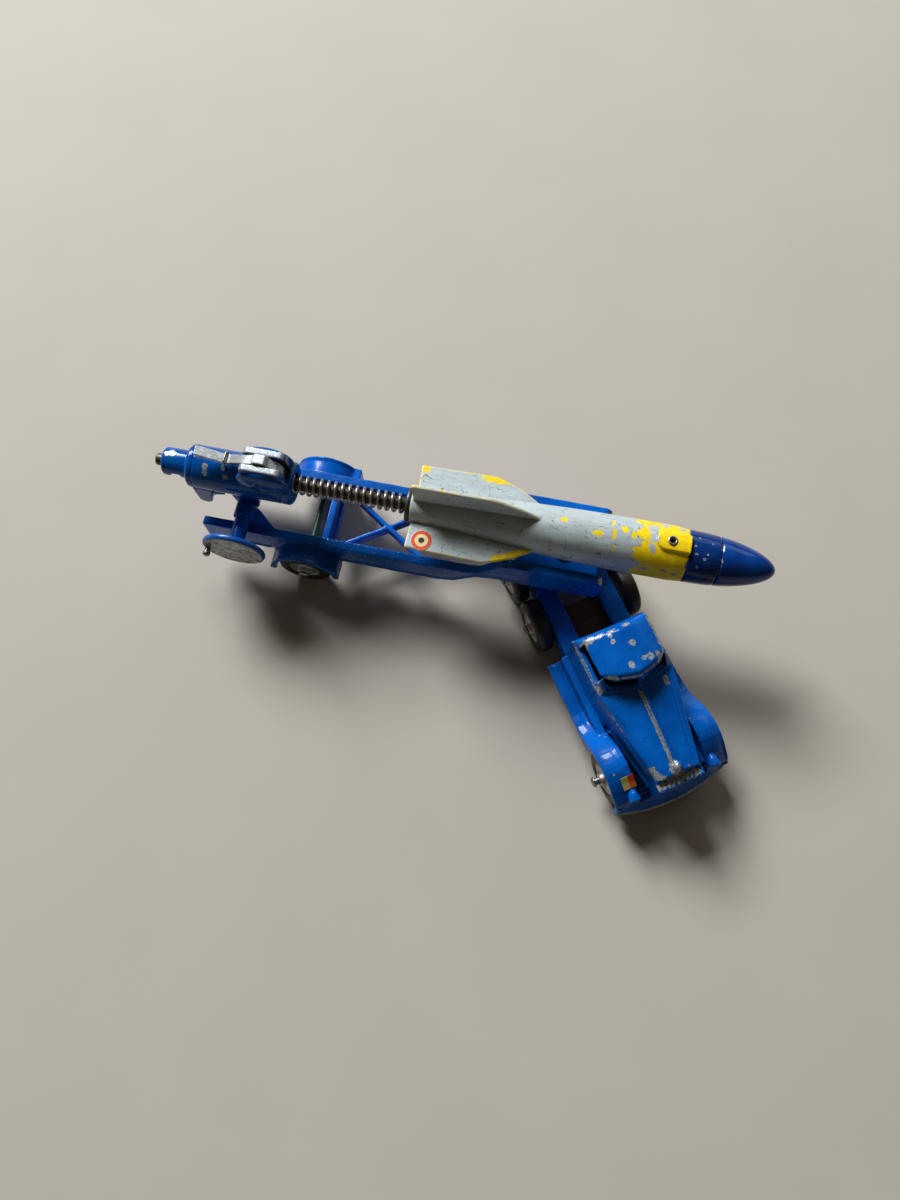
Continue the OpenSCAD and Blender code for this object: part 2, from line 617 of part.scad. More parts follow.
on_tractor() wheel_at(mid_axle, -1) hub();  // mid_hub_right
on_tractor() wheel_at(mid_axle, 1) hub();  // mid_hub_left
on_tractor() wheel_at(rear_axle, -1) hub();  // rear_hub_right
on_tractor() wheel_at(rear_axle, 1) hub();  // rear_hub_left
on_tractor() wheel_at(front_axle, -1) tyre();  // front_tyre_right
on_tractor() wheel_at(front_axle, 1) tyre();  // front_tyre_left
on_tractor() wheel_at(mid_axle, -1) tyre();  // mid_tyre_right
on_tractor() wheel_at(mid_axle, 1) tyre();  // mid_tyre_left
on_tractor() wheel_at(rear_axle, -1) tyre();  // rear_tyre_right
on_tractor() wheel_at(rear_axle, 1) tyre();  // rear_tyre_left
wing_sticker();
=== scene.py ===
import math

import bpy
import numpy as np
from mathutils import Matrix, Vector


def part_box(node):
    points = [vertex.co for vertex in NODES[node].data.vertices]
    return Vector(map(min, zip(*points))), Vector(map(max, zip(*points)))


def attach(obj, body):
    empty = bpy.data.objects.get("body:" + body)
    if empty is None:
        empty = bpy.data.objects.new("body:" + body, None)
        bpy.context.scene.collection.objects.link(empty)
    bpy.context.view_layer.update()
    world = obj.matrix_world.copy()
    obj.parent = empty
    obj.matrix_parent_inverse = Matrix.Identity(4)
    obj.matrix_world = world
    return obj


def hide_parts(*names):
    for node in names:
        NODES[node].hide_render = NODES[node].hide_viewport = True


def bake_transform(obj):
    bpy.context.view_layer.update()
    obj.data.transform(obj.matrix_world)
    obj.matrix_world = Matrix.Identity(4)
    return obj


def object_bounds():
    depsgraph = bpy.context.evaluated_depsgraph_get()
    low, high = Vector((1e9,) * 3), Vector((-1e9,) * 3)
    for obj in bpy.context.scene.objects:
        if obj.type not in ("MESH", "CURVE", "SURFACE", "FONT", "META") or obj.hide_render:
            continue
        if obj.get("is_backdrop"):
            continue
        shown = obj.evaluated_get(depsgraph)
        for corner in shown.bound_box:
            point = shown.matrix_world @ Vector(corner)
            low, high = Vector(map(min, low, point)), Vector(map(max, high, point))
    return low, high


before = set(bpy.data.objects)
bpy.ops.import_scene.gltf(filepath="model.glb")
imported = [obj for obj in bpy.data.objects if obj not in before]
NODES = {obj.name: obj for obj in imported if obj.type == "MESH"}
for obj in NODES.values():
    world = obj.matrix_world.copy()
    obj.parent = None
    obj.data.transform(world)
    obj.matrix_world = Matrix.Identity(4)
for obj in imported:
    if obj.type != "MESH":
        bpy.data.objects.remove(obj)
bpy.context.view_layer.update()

MM = 0.001


def centre(node):
    low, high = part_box(node)
    return (low + high) / 2


# ---- local frames in millimetres ----
axle_at = centre("trailer_axle")
pin_at = centre("kingpin")
ahead = centre("front_axle_rod") - centre("mid_axle_rod")
TRAILER = Matrix.Translation((axle_at.x, axle_at.y, 0)) @ Matrix.Scale(MM, 4)
TRACTOR = (Matrix.Translation((pin_at.x, pin_at.y, 0))
           @ Matrix.Rotation(math.atan2(ahead.y, ahead.x), 4, "Z") @ Matrix.Scale(MM, 4))
BORE_Z = centre("nose_tip").z / MM


def local_box(node, local):
    """Low and high corners of a CAD node in a local frame."""
    back = local.inverted()
    pts = np.array([back @ v.co for v in NODES[node].data.vertices])
    return pts.min(0), pts.max(0)


def box_mid(node, local):
    """A node's corners in a local frame, and the point halfway between them."""
    low, high = local_box(node, local)
    return low, high, (low + high) / 2


# ---- mesh parts: each returns (vertices, faces) in a local frame ----
def lathe(profile, count=128, axis="x", at=(0, 0, 0), ring=False):
    """Turns [(along, radius), ...] about an axis; ring closes the section on itself."""
    verts, faces, rows = [], [], []
    for a, r in profile:
        if r < 1e-6:
            rows.append([len(verts)])
            verts.append((a, 0, 0))
            continue
        rows.append(list(range(len(verts), len(verts) + count)))
        for k in range(count):
            t = 2 * math.pi * k / count
            verts.append((a, r * math.cos(t), r * math.sin(t)))
    pairs = list(zip(rows, rows[1:]))
    if ring:
        pairs.append((rows[-1], rows[0]))
    for p, q in pairs:
        for k in range(count):
            n = (k + 1) % count
            if len(p) == 1 and len(q) == 1:
                break
            if len(p) == 1:
                faces.append((p[0], q[n], q[k]))
            elif len(q) == 1:
                faces.append((p[k], p[n], q[0]))
            else:
                faces.append((p[k], p[n], q[n], q[k]))
    v = np.array(verts, float)
    if axis == "y":
        v = v[:, [2, 0, 1]]
    elif axis == "z":
        v = v[:, [1, 2, 0]]
    return v + np.array(at, float), faces


def tube(path, radius, sides=12, caps=True):
    """Sweeps a circle along a path of points; radius is one number or one for each point."""
    path = np.array(path, float)
    radius = np.broadcast_to(np.array(radius, float), (len(path),))
    along = np.gradient(path, axis=0)
    along /= np.linalg.norm(along, axis=1)[:, None]
    up = np.array([0.0, 0, 1]) if abs(along[0][2]) < 0.9 else np.array([0.0, 1, 0])
    side = np.cross(along[0], up)
    verts, faces = [], []
    for p, t, r in zip(path, along, radius):
        side = side - t * side.dot(t)
        side /= np.linalg.norm(side)
        other = np.cross(t, side)
        for k in range(sides):
            a = 2 * math.pi * k / sides
            verts.append(p + r * (math.cos(a) * side + math.sin(a) * other))
    for i in range(len(path) - 1):
        for k in range(sides):
            n = (k + 1) % sides
            a, b = i * sides, (i + 1) * sides
            faces.append((a + k, a + n, b + n, b + k))
    if caps:
        faces.append(tuple(range(sides))[::-1])
        faces.append(tuple((len(path) - 1) * sides + k for k in range(sides)))
    return np.array(verts), faces


def prism(outline, low, high, axis="y"):
    """Extrudes an outline; on axis y it is drawn as (x, z), on axis z as (x, y)."""
    n = len(outline)
    verts = []
    for w in (low, high):
        for a, b in outline:
            verts.append((a, w, b) if axis == "y" else (a, b, w))
    faces = [tuple(range(n)), tuple(range(2 * n - 1, n - 1, -1))]
    for k in range(n):
        m = (k + 1) % n
        faces.append((k, k + n, m + n, m))
    return np.array(verts, float), faces


def ball(at, radii, count=24):
    profile = [(-math.cos(math.pi * i / count), math.sin(math.pi * i / count))
               for i in range(count + 1)]
    v, f = lathe(profile, count * 2, "x")
    return v * np.array(radii, float) + np.array(at, float), f


def sheet(under, over):
    """Closed slab between two grids of points, each rows by columns by 3."""
    rows, cols = under.shape[:2]
    index = np.arange(2 * rows * cols).reshape(2, rows, cols)
    faces = []
    for level, order in ((0, 1), (1, -1)):
        g = index[level]
        for i in range(rows - 1):
            for j in range(cols - 1):
                faces.append([g[i, j], g[i, j + 1], g[i + 1, j + 1], g[i + 1, j]][::order])
    edge = [(i, 0) for i in range(rows - 1)] + [(rows - 1, j) for j in range(cols - 1)]
    edge += [(i, cols - 1) for i in range(rows - 1, 0, -1)] + [(0, j) for j in range(cols - 1, 0, -1)]
    for (i, j), (k, m) in zip(edge, edge[1:] + edge[:1]):
        faces.append([index[0, i, j], index[0, k, m], index[1, k, m], index[1, i, j]])
    return np.concatenate([under.reshape(-1, 3), over.reshape(-1, 3)]), np.array(faces).tolist()


def node_part(node, local):
    """The CAD node's own mesh, in a local frame."""
    back = local.inverted()
    mesh = NODES[node].data
    verts = np.array([back @ v.co for v in mesh.vertices])
    return verts, [tuple(p.vertices) for p in mesh.polygons]


def joined(parts):
    verts, faces, n = [], [], 0
    for v, f in parts:
        verts.append(v)
        faces += [tuple(i + n for i in face) for face in f]
        n += len(v)
    return np.concatenate(verts), faces


# ---- pieces ----
def piece(name, part, local, body, material, sharp=40, attrs=None):
    """Makes the object that stands in for the CAD node of the same name."""
    verts, faces = part
    m = np.array(local)
    world = verts @ m[:3, :3].T + m[:3, 3]
    mesh = bpy.data.meshes.new(name)
    mesh.from_pydata(world.tolist(), [], [list(f) for f in faces])
    mesh.validate()
    mesh.update()
    for key, values in (attrs or {}).items():
        mesh.attributes.new(key, "FLOAT", "POINT").data.foreach_set(
            "value", np.ascontiguousarray(values, np.float32))
    mesh.shade_smooth()
    if sharp:
        mesh.set_sharp_from_angle(angle=math.radians(sharp))
    mesh.materials.append(material)
    obj = bpy.data.objects.new(name + "_fine", mesh)
    bpy.context.scene.collection.objects.link(obj)
    if body:
        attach(obj, body)
    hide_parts(name)
    return obj


def outward(part):
    """Turns a closed part's faces so that they look out of it."""
    verts, faces = part
    volume = 0.0
    for f in faces:
        a = verts[f[0]]
        for k in range(1, len(f) - 1):
            volume += np.dot(a, np.cross(verts[f[k]], verts[f[k + 1]]))
    return (verts, faces) if volume > 0 else (verts, [tuple(reversed(f)) for f in faces])


def voxels(parts, size):
    """One closed skin over parts that overlap, as vertices and quads."""
    verts, faces = joined([outward(p) for p in parts])
    mesh = bpy.data.meshes.new("soft")
    mesh.from_pydata(verts.tolist(), [], [list(f) for f in faces])
    obj = bpy.data.objects.new("soft", mesh)
    bpy.context.scene.collection.objects.link(obj)
    weld = obj.modifiers.new("weld", "WELD")
    weld.merge_threshold = 1e-4
    remesh = obj.modifiers.new("remesh", "REMESH")
    remesh.mode = "VOXEL"
    remesh.voxel_size = size
    out = obj.evaluated_get(bpy.context.evaluated_depsgraph_get()).to_mesh()
    v = np.empty(len(out.vertices) * 3)
    out.vertices.foreach_get("co", v)
    q = np.empty(len(out.loops), np.int64)
    out.loops.foreach_get("vertex_index", q)
    bpy.data.objects.remove(obj)
    bpy.data.meshes.remove(mesh)
    return v.reshape(-1, 3), q.reshape(-1, 4)


def relax(v, q, steps, amount=0.5):
    """Moves each vertex towards the mean of its neighbours."""
    a, b = q.ravel(), np.roll(q, -1, 1).ravel()
    n = len(v)
    count = np.bincount(a, minlength=n) + np.bincount(b, minlength=n)
    for step in range(steps):
        total = np.stack([np.bincount(a, v[b, k], n) + np.bincount(b, v[a, k], n)
                          for k in range(3)], 1)
        v = v + amount * (total / count[:, None] - v)
    return v


def normals(v, q):
    cross = np.cross(v[q[:, 2]] - v[q[:, 0]], v[q[:, 3]] - v[q[:, 1]])
    n = np.zeros_like(v)
    for k in range(4):
        for c in range(3):
            n[:, c] += np.bincount(q[:, k], cross[:, c], len(v))
    return n / np.maximum(np.linalg.norm(n, axis=1), 1e-9)[:, None]


def spots(v, marks):
    """Field that is 1 at the middle of each mark (x, y, z, radius[, stretch x, y, z]) and 0 outside."""
    field = np.zeros(len(v))
    for mark in marks:
        stretch = np.array(mark[4:7] if len(mark) > 4 else (1, 1, 1), float)
        d = np.linalg.norm((v - np.array(mark[:3])) / stretch, axis=1) / mark[3]
        field = np.maximum(field, np.clip(1 - d, 0, 1))
    return field


def step(x, low, high):
    t = np.clip((x - low) / (high - low), 0, 1)
    return t * t * (3 - 2 * t)


def line(x, at, half):
    """1 on a line, falling to 0 at half its width."""
    return np.clip(1 - np.abs(x - at) / half, 0, 1)


def skin(name, size, local, soften, extra=()):
    """A node's mesh joined with extra parts, its edges softened."""
    v, q = voxels([node_part(name, local), *extra], size)
    for k in range(3):
        v = relax(v, q, 1, 0.6)
        v = relax(v, q, 1, -0.62)
    return relax(v, q, soften, 0.5), q


def cast(name, size, local, body, material, soften=3, shape=None, gain=None, marks=(), inside_shade=None,
         extra=()):
    """A casting with soft edges: its skin, shaped by shape(v, n, q), with wear on the edges and at marks."""
    v, q = skin(name, size, local, soften, extra)
    if shape:
        v = shape(v, normals(v, q), q)
    n = normals(v, q)
    blunt = relax(v, q, max(4, int(6 * (0.25 / size) ** 2)), 0.5)
    bulge = ((v - blunt) * n).sum(1)
    edge = np.clip(bulge / 0.10, 0, 1)
    # concave faces; the finishes darken them as painted shade
    pit_shade = np.clip(-bulge / 0.10, 0, 1)
    wear = edge * (gain(v, n) if gain else 0.5)
    wear = np.maximum(wear, 1.3 * spots(v, marks)) if len(marks) else wear
    # the pit and inside masks mark faces that the finishes darken as painted shade
    return piece(name, (v, q.tolist()), local, body, material, None,
                 {"wear": wear, "pit_shade": pit_shade, "inside_shade": inside_shade(v, n) if inside_shade else np.zeros(len(v))})


# ---- materials ----
class Finish:
    """Node tree helper; P is the rest position in millimetres."""

    def __init__(self, name):
        self.mat = bpy.data.materials.new(name)
        self.mat.use_nodes = True
        self.tree = self.mat.node_tree
        self.tree.nodes.clear()
        out = self.node("ShaderNodeOutputMaterial")
        self.bsdf = self.node("ShaderNodeBsdfPrincipled")
        self.tree.links.new(self.bsdf.outputs[0], out.inputs[0])
        self.P = self.vec("SCALE", self.node("ShaderNodeTexCoord").outputs["Object"], 1 / MM)

    def node(self, kind, inputs=None, **props):
        """A new node; each input, by name or number, is linked or set."""
        n = self.tree.nodes.new(kind)
        for k, value in props.items():
            setattr(n, k, value)
        for k, value in (inputs or {}).items():
            self.put(n.inputs[k], value)
        return n

    def put(self, socket, value):
        if isinstance(value, bpy.types.NodeSocket):
            self.tree.links.new(value, socket)
        elif isinstance(value, (tuple, list)) and socket.type == "RGBA":
            socket.default_value = (*value, 1)[:4]
        else:
            socket.default_value = value

    def vec(self, op, a, b):
        """A vector calculation; for SCALE, b is the factor."""
        n = self.node("ShaderNodeVectorMath", {0: a, "Scale" if op == "SCALE" else 1: b}, operation=op)
        return n.outputs["Value"] if op == "DOT_PRODUCT" else n.outputs[0]

    def math(self, op, a, b=0.0, clamp=False):
        return self.node("ShaderNodeMath", {0: a, 1: b}, operation=op, use_clamp=clamp).outputs[0]

    def mul(self, a, b):
        return self.math("MULTIPLY", a, b)

    def add(self, a, b):
        return self.math("ADD", a, b)

    def invert(self, a):
        return self.math("SUBTRACT", 1.0, a)

    def swing(self, noise, width):
        """A noise turned into a push to either side of zero, over a full width."""
        return self.mul(self.math("SUBTRACT", noise, 0.5), width)

    def noise(self, scale, detail=4.0, rough=0.55, at=None, distortion=0.0, output="Fac"):
        return self.node("ShaderNodeTexNoise", {
            "Vector": self.P if at is None else at, "Scale": scale, "Detail": detail, "Roughness": rough,
            "Distortion": distortion}).outputs[output]

    def ramp(self, value, low, high, to_low=0.0, to_high=1.0):
        return self.node("ShaderNodeMapRange", {
            "Value": value, "From Min": low, "From Max": high, "To Min": to_low, "To Max": to_high},
            interpolation_type="SMOOTHSTEP").outputs["Result"]

    def patches(self, scale, detail, rough, low, high):
        return self.ramp(self.noise(scale, detail, rough), low, high)

    def mix(self, fac, a, b):
        return self.node("ShaderNodeMix", {0: fac, 6: a, 7: b}, data_type="RGBA").outputs[2]

    def blend(self, fac, a, b):
        return self.node("ShaderNodeMix", {0: fac, 2: a, 3: b}, data_type="FLOAT").outputs[0]

    def attr(self, name):
        return self.node("ShaderNodeAttribute", attribute_name=name).outputs["Fac"]

    def bump(self, height, distance, strength=1.0, normal=None):
        inputs = {"Height": height, "Strength": strength, "Distance": distance * MM}
        if normal is not None:
            inputs["Normal"] = normal
        return self.node("ShaderNodeBump", inputs).outputs["Normal"]

    def local(self, matrix):
        """Rest position in a local frame, in millimetres, as separate x, y and z."""
        back = matrix.inverted() @ Matrix.Scale(MM, 4)
        rows = []
        for r in range(3):
            d = self.vec("DOT_PRODUCT", self.P, tuple(back[r][:3]))
            rows.append(self.add(d, back[r][3]))
        return rows

    def done(self, **sockets):
        for name, value in sockets.items():
            self.put(self.bsdf.inputs[name.replace("_", " ")], value)
        return self.mat


def srgb(r, g, b):
    return tuple((c / 255 / 12.92 if c <= 10.3 else ((c / 255 + 0.055) / 1.055) ** 2.4) for c in (r, g, b))


def shade(colour, by):
    return tuple(c * by for c in colour)


# bare zinc for chips; the blue tint in both tones is a painted sky reflection
ZINC = srgb(192, 202, 210)
ZINC_DARK = srgb(126, 134, 140)


def paint(name, colour, deep, rough=0.27, speck=0.5, gloss=0.12, coat=0.3):
    """Old stove enamel over a zinc casting: chips at the wear attribute, specks, dirt patches, and painted
    shade in the pits and creases.
    """
    m = Finish(name)
    wear = m.attr("wear")
    ragged = m.noise(0.9, 6, 0.65)
    fine = m.noise(3.2, 4, 0.6)
    push = m.add(m.mul(ragged, 0.75), m.mul(fine, 0.25))
    level = m.add(wear, m.swing(push, 1.5))
    chip = m.ramp(level, 0.60, 0.66)
    rim = m.ramp(level, 0.50, 0.61)
    least = 0.745 - 0.05 * speck
    tiny = m.ramp(m.noise(2.2, 2, 0.5, m.vec("ADD", m.P, (31.0, 7.0, 3.0))), least, least + 0.02)
    tiny = m.mul(tiny, m.patches(0.22, 2, 0.5, 0.54, 0.66))
    chip = m.math("MAXIMUM", chip, m.math("MULTIPLY", tiny, speck, clamp=True))
    cloud = m.noise(0.11, 3, 0.5)
    base = m.mix(m.ramp(cloud, 0.3, 0.7), deep, colour)
    grime = m.mul(m.patches(0.6, 5, 0.6, 0.45, 0.75), 0.14)
    base = m.mix(grime, base, shade(deep, 0.55))
    # painted shade: the enamel darkens in pits and creases
    base = m.mix(m.mul(m.attr("pit_shade"), 0.5), base, shade(deep, 0.25))
    base = m.mix(m.mul(rim, 0.45), base, shade(deep, 0.4))
    dust = m.patches(5.5, 2, 0.5, 0.70, 0.78)
    base = m.mix(m.mul(dust, 0.02), base, srgb(120, 130, 140))
    metal = m.mix(m.patches(1.6, 5, 0.65, 0.35, 0.7), ZINC_DARK, ZINC)
    # painted shade: faces inside the cab, bonnet and launcher recesses go near black
    colour_out = m.mix(m.attr("inside_shade"), m.mix(chip, base, metal), shade(deep, 0.06))
    scratches = m.noise(1.0, 3, 0.6, m.vec("MULTIPLY", m.P, (0.25, 3.0, 3.0)))
    rough_out = m.add(m.mul(m.patches(0.8, 4, 0.6, 0.3, 0.8), 0.16), rough - 0.05)
    rough_out = m.add(rough_out, m.mul(m.ramp(scratches, 0.55, 0.8), 0.1))
    rough_out = m.blend(chip, rough_out, 0.48)
    peel = m.bump(m.noise(0.45, 2, 0.5), 0.03, 0.25)
    normal = m.bump(m.invert(chip), 0.05, 0.8, peel)
    return m.done(Base_Color=colour_out, Roughness=rough_out, Metallic=m.mul(chip, 0.55),
                  Normal=normal, Coat_Weight=coat, Coat_Roughness=gloss * 0.6, Specular_IOR_Level=0.12)


BLUE = srgb(0, 98, 198)
BLUE_DEEP = srgb(0, 80, 168)
blue = paint("blue_enamel", BLUE, BLUE_DEEP, speck=0.4, gloss=0.2, coat=0.2)
# the launcher's enamel: glossier and less chipped than the tractor's; its darker blue is painted shade
blue_launcher_shaded = paint("blue_enamel_launcher_shaded", srgb(0, 90, 176), srgb(0, 68, 142), rough=0.22, speck=0.25)


def steel(name, colour, dark, rough=0.35, metallic=0.9, grain=(1, 1, 1), rust=0.15, bump=0.02, coat=None):
    """Worn bare metal with lengthwise grain and stains; pits and inside faces darkened as painted shade; coat
    colours the coated attribute.
    """
    m = Finish(name)
    streak = m.noise(2.0, 5, 0.6, m.vec("MULTIPLY", m.P, grain))
    stain = m.noise(0.45, 5, 0.65)
    base = m.mix(m.ramp(streak, 0.3, 0.72), dark, colour)
    base = m.mix(m.mul(m.ramp(stain, 0.5, 0.75), rust), base, srgb(70, 52, 38))
    # painted shade: darker in pits and creases, near black on inside faces
    base = m.mix(m.mul(m.attr("pit_shade"), 0.5), base, shade(dark, 0.2))
    base = m.mix(m.mul(m.attr("inside_shade"), 0.75), base, shade(dark, 0.12))
    if coat:
        base = m.mix(m.attr("coated"), base, m.mix(m.ramp(stain, 0.35, 0.65), coat, shade(coat, 0.4)))
        metallic = m.mul(m.invert(m.attr("coated")), metallic)
    rough_out = m.add(m.mul(m.ramp(stain, 0.3, 0.8), 0.2), rough - 0.05)
    normal = m.bump(streak, bump, 0.6)
    normal = m.bump(m.noise(7.0, 3, 0.6), bump * 0.5, 0.5, normal)
    return m.done(Base_Color=base, Roughness=rough_out, Metallic=metallic, Normal=normal)


def spun(name, colour, dark, rough=0.28, ridges=7.0, swirl=0.35, rim=None):
    """Turned metal: fine rings at the rad attribute, scraped with curved swirls; paint left past rim."""
    m = Finish(name)
    rad = m.attr("rad")
    wobble = m.swing(m.noise(0.35, 3, 0.6), swirl * 6)
    outwards = m.node("ShaderNodeCombineXYZ", {0: m.add(rad, wobble)}).outputs[0]
    rings = m.noise(ridges, 3, 0.7, outwards)
    stain = m.noise(0.55, 6, 0.7)
    base = m.mix(m.ramp(rings, 0.3, 0.7), dark, colour)
    base = m.mix(m.mul(m.ramp(stain, 0.52, 0.72), 0.55), base, shade(dark, 0.45))
    if rim:
        # scribbled scratches: contour lines of a soft noise
        loop = m.math("ABSOLUTE", m.math("SUBTRACT", m.noise(0.42, 2, 0.5, distortion=1.2), 0.5))
        scribble = m.mul(m.ramp(loop, 0.050, 0.018), m.patches(0.5, 3, 0.6, 0.36, 0.46))
        base = m.mix(m.mul(scribble, 0.9), base, srgb(24, 26, 28))
    rough_out = m.add(m.mul(rings, 0.22), rough)
    metal = 0.5 if rim else 0.85
    normal = m.bump(rings, 0.02, 0.7)
    if rim:
        edge = m.add(rad, m.swing(m.noise(0.9, 5, 0.65), 1.6))
        left = m.ramp(edge, rim, rim + 0.12)
        specks = m.patches(1.1, 5, 0.65, 0.66, 0.69)
        left = m.math("MAXIMUM", left, m.mul(specks, m.ramp(rad, 2.0, 8.0)))
        left = m.math("MAXIMUM", left, m.attr("wear"))
        base = m.mix(left, base, BLUE_DEEP)
        rough_out = m.blend(left, rough_out, 0.3)
        metal = m.mul(m.invert(left), 0.5)
    return m.done(Base_Color=base, Roughness=rough_out, Metallic=metal, Normal=normal)


def rubber():
    m = Finish("tyre_rubber")
    dusty = m.patches(0.5, 5, 0.65, 0.42, 0.75)
    base = m.mix(m.mul(dusty, 0.5), srgb(12, 12, 13), srgb(44, 42, 40))
    base = m.mix(m.mul(m.patches(3.0, 3, 0.5, 0.62, 0.7), 0.4), base, srgb(88, 84, 76))
    normal = m.bump(m.noise(2.4, 4, 0.6), 0.04, 0.6)
    return m.done(Base_Color=base, Roughness=m.ramp(dusty, 0.0, 1.0, 0.42, 0.62), Normal=normal)


def rocket_finish():
    """Silver over yellow; the yellow attribute says where the top coat is gone or was never sprayed."""
    m = Finish("rocket_paint")
    ragged = m.noise(0.55, 7, 0.62, distortion=0.3)
    fine = m.noise(2.6, 4, 0.6)
    push = m.add(m.mul(ragged, 0.7), m.mul(fine, 0.3))
    level = m.add(m.attr("yellow"), m.swing(push, 1.9))
    bare = m.ramp(level, 0.50, 0.54)
    lengthwise = m.noise(0.9, 5, 0.6, m.vec("MULTIPLY", m.P, (0.12, 1.0, 1.0)))
    silver = m.mix(m.ramp(lengthwise, 0.3, 0.75), srgb(172, 188, 195), srgb(190, 207, 213))
    silver = m.mix(m.mul(m.patches(0.16, 4, 0.6, 0.45, 0.7), 0.4), silver, srgb(168, 170, 168))
    silver = m.mix(m.mul(m.patches(1.2, 6, 0.7, 0.55, 0.75), 0.25), silver, srgb(132, 134, 132))
    # painted shade: near black in the pits and creases
    silver = m.mix(m.mul(m.attr("pit_shade"), 0.8), silver, srgb(52, 50, 46))
    # short dark scratches, kept to patches
    bent = m.vec("ADD", m.P, m.vec("SCALE", m.noise(0.5, 2.0, 0.5, output="Color"), 3.0))
    cells = m.node("ShaderNodeTexVoronoi", {"Vector": bent, "Scale": 0.26}, feature="DISTANCE_TO_EDGE")
    net = cells.outputs["Distance"]
    scratch = m.mul(m.ramp(net, 0.022, 0.008), m.patches(0.3, 3, 0.6, 0.50, 0.56))
    silver = m.mix(m.mul(scratch, 0.85), silver, srgb(34, 32, 30))
    yellow = m.mix(m.patches(0.5, 5, 0.6, 0.35, 0.7), srgb(240, 204, 5), srgb(255, 230, 12))
    yellow = m.mix(m.mul(m.patches(2.0, 4, 0.6, 0.60, 0.70), 0.45), yellow, srgb(150, 124, 40))
    zinc = m.mix(m.patches(1.5, 4, 0.6, 0.35, 0.7), srgb(108, 110, 112), srgb(170, 172, 174))
    gone = m.ramp(m.add(m.attr("bare"), m.swing(push, 1.6)), 0.55, 0.60)
    base = m.mix(gone, m.mix(bare, silver, yellow), zinc)
    rough = m.add(m.mul(m.ramp(ragged, 0.3, 0.8), 0.15), 0.36)
    rough = m.add(rough, m.mul(bare, -0.06))
    height = m.invert(bare)
    normal = m.bump(m.noise(3.2, 5, 0.65), 0.02, 0.6)
    normal = m.bump(height, 0.045, 0.8, normal)
    normal = m.bump(m.invert(scratch), 0.03, 0.7, normal)
    metal = m.mul(m.invert(bare), 0.08)
    return m.done(Base_Color=base, Roughness=rough, Metallic=metal, Normal=normal)


rocket_paint = rocket_finish()
nose_paint = paint("nose_enamel", srgb(10, 70, 158), srgb(6, 52, 126), rough=0.14, speck=0.05, gloss=0.06)
band_paint = paint("band_enamel", srgb(8, 52, 122), srgb(6, 38, 92), rough=0.26, speck=0.4)
tyre_black = rubber()
hub_silver = spun("hub_metal", srgb(206, 206, 202), srgb(152, 152, 150), 0.3, 9.0, 0.1)
disc_silver = spun("hand_wheel_metal", srgb(208, 211, 210), srgb(104, 108, 110), 0.4, 0.75, 2.6, 9.7)
spring_steel = steel("spring_steel", srgb(188, 184, 176), srgb(118, 112, 104), 0.28, 0.9, (1, 1, 1), 0.25)
flange_steel = steel("flange_steel", srgb(104, 108, 112), srgb(58, 62, 66), 0.4, 0.85)
bright_steel = steel("bright_steel", srgb(186, 186, 182), srgb(120, 120, 118), 0.3, 0.9, (0.3, 1, 1), 0.1)
# dark plunger-rod steel; part of its darkness is painted shade inside the spring's coils
dark_steel = steel("dark_steel", srgb(96, 94, 88), srgb(48, 46, 44), 0.42, 0.85)
axle_steel = steel("axle_steel", srgb(168, 168, 164), srgb(104, 104, 102), 0.33, 0.9)
axle_green = steel("green_steel", srgb(190, 190, 186), srgb(128, 128, 126), 0.33, 0.9, coat=srgb(14, 84, 50))
lever_steel = steel("lever_steel", srgb(222, 232, 238), srgb(160, 170, 176), 0.42, 0.2, (0.25, 1, 1), 0.1,
                    0.03)
floor_brown = steel("floor_metal", srgb(74, 34, 26), srgb(40, 20, 18), 0.45, 0.2)


# ---- shapes shared by several pieces ----
def rounded(points, radius, steps=4):
    """Softens the inner corners of an open outline."""
    out = [tuple(points[0])]
    for a, b, c in zip(points, points[1:], points[2:]):
        a, b, c = Vector(a), Vector(b), Vector(c)
        r = min(radius, (a - b).length * 0.45, (c - b).length * 0.45)
        p, q = b + (a - b).normalized() * r, b + (c - b).normalized() * r
        for k in range(steps + 1):
            t = k / steps
            out.append(tuple(p * (1 - t) ** 2 + b * 2 * t * (1 - t) + q * t * t))
    out.append(tuple(points[-1]))
    return out


def radii(part, at, axis):
    keep = [k for k in range(3) if k != axis]
    d = part[0][:, keep] - np.array(at)[keep]
    return np.hypot(d[:, 0], d[:, 1])


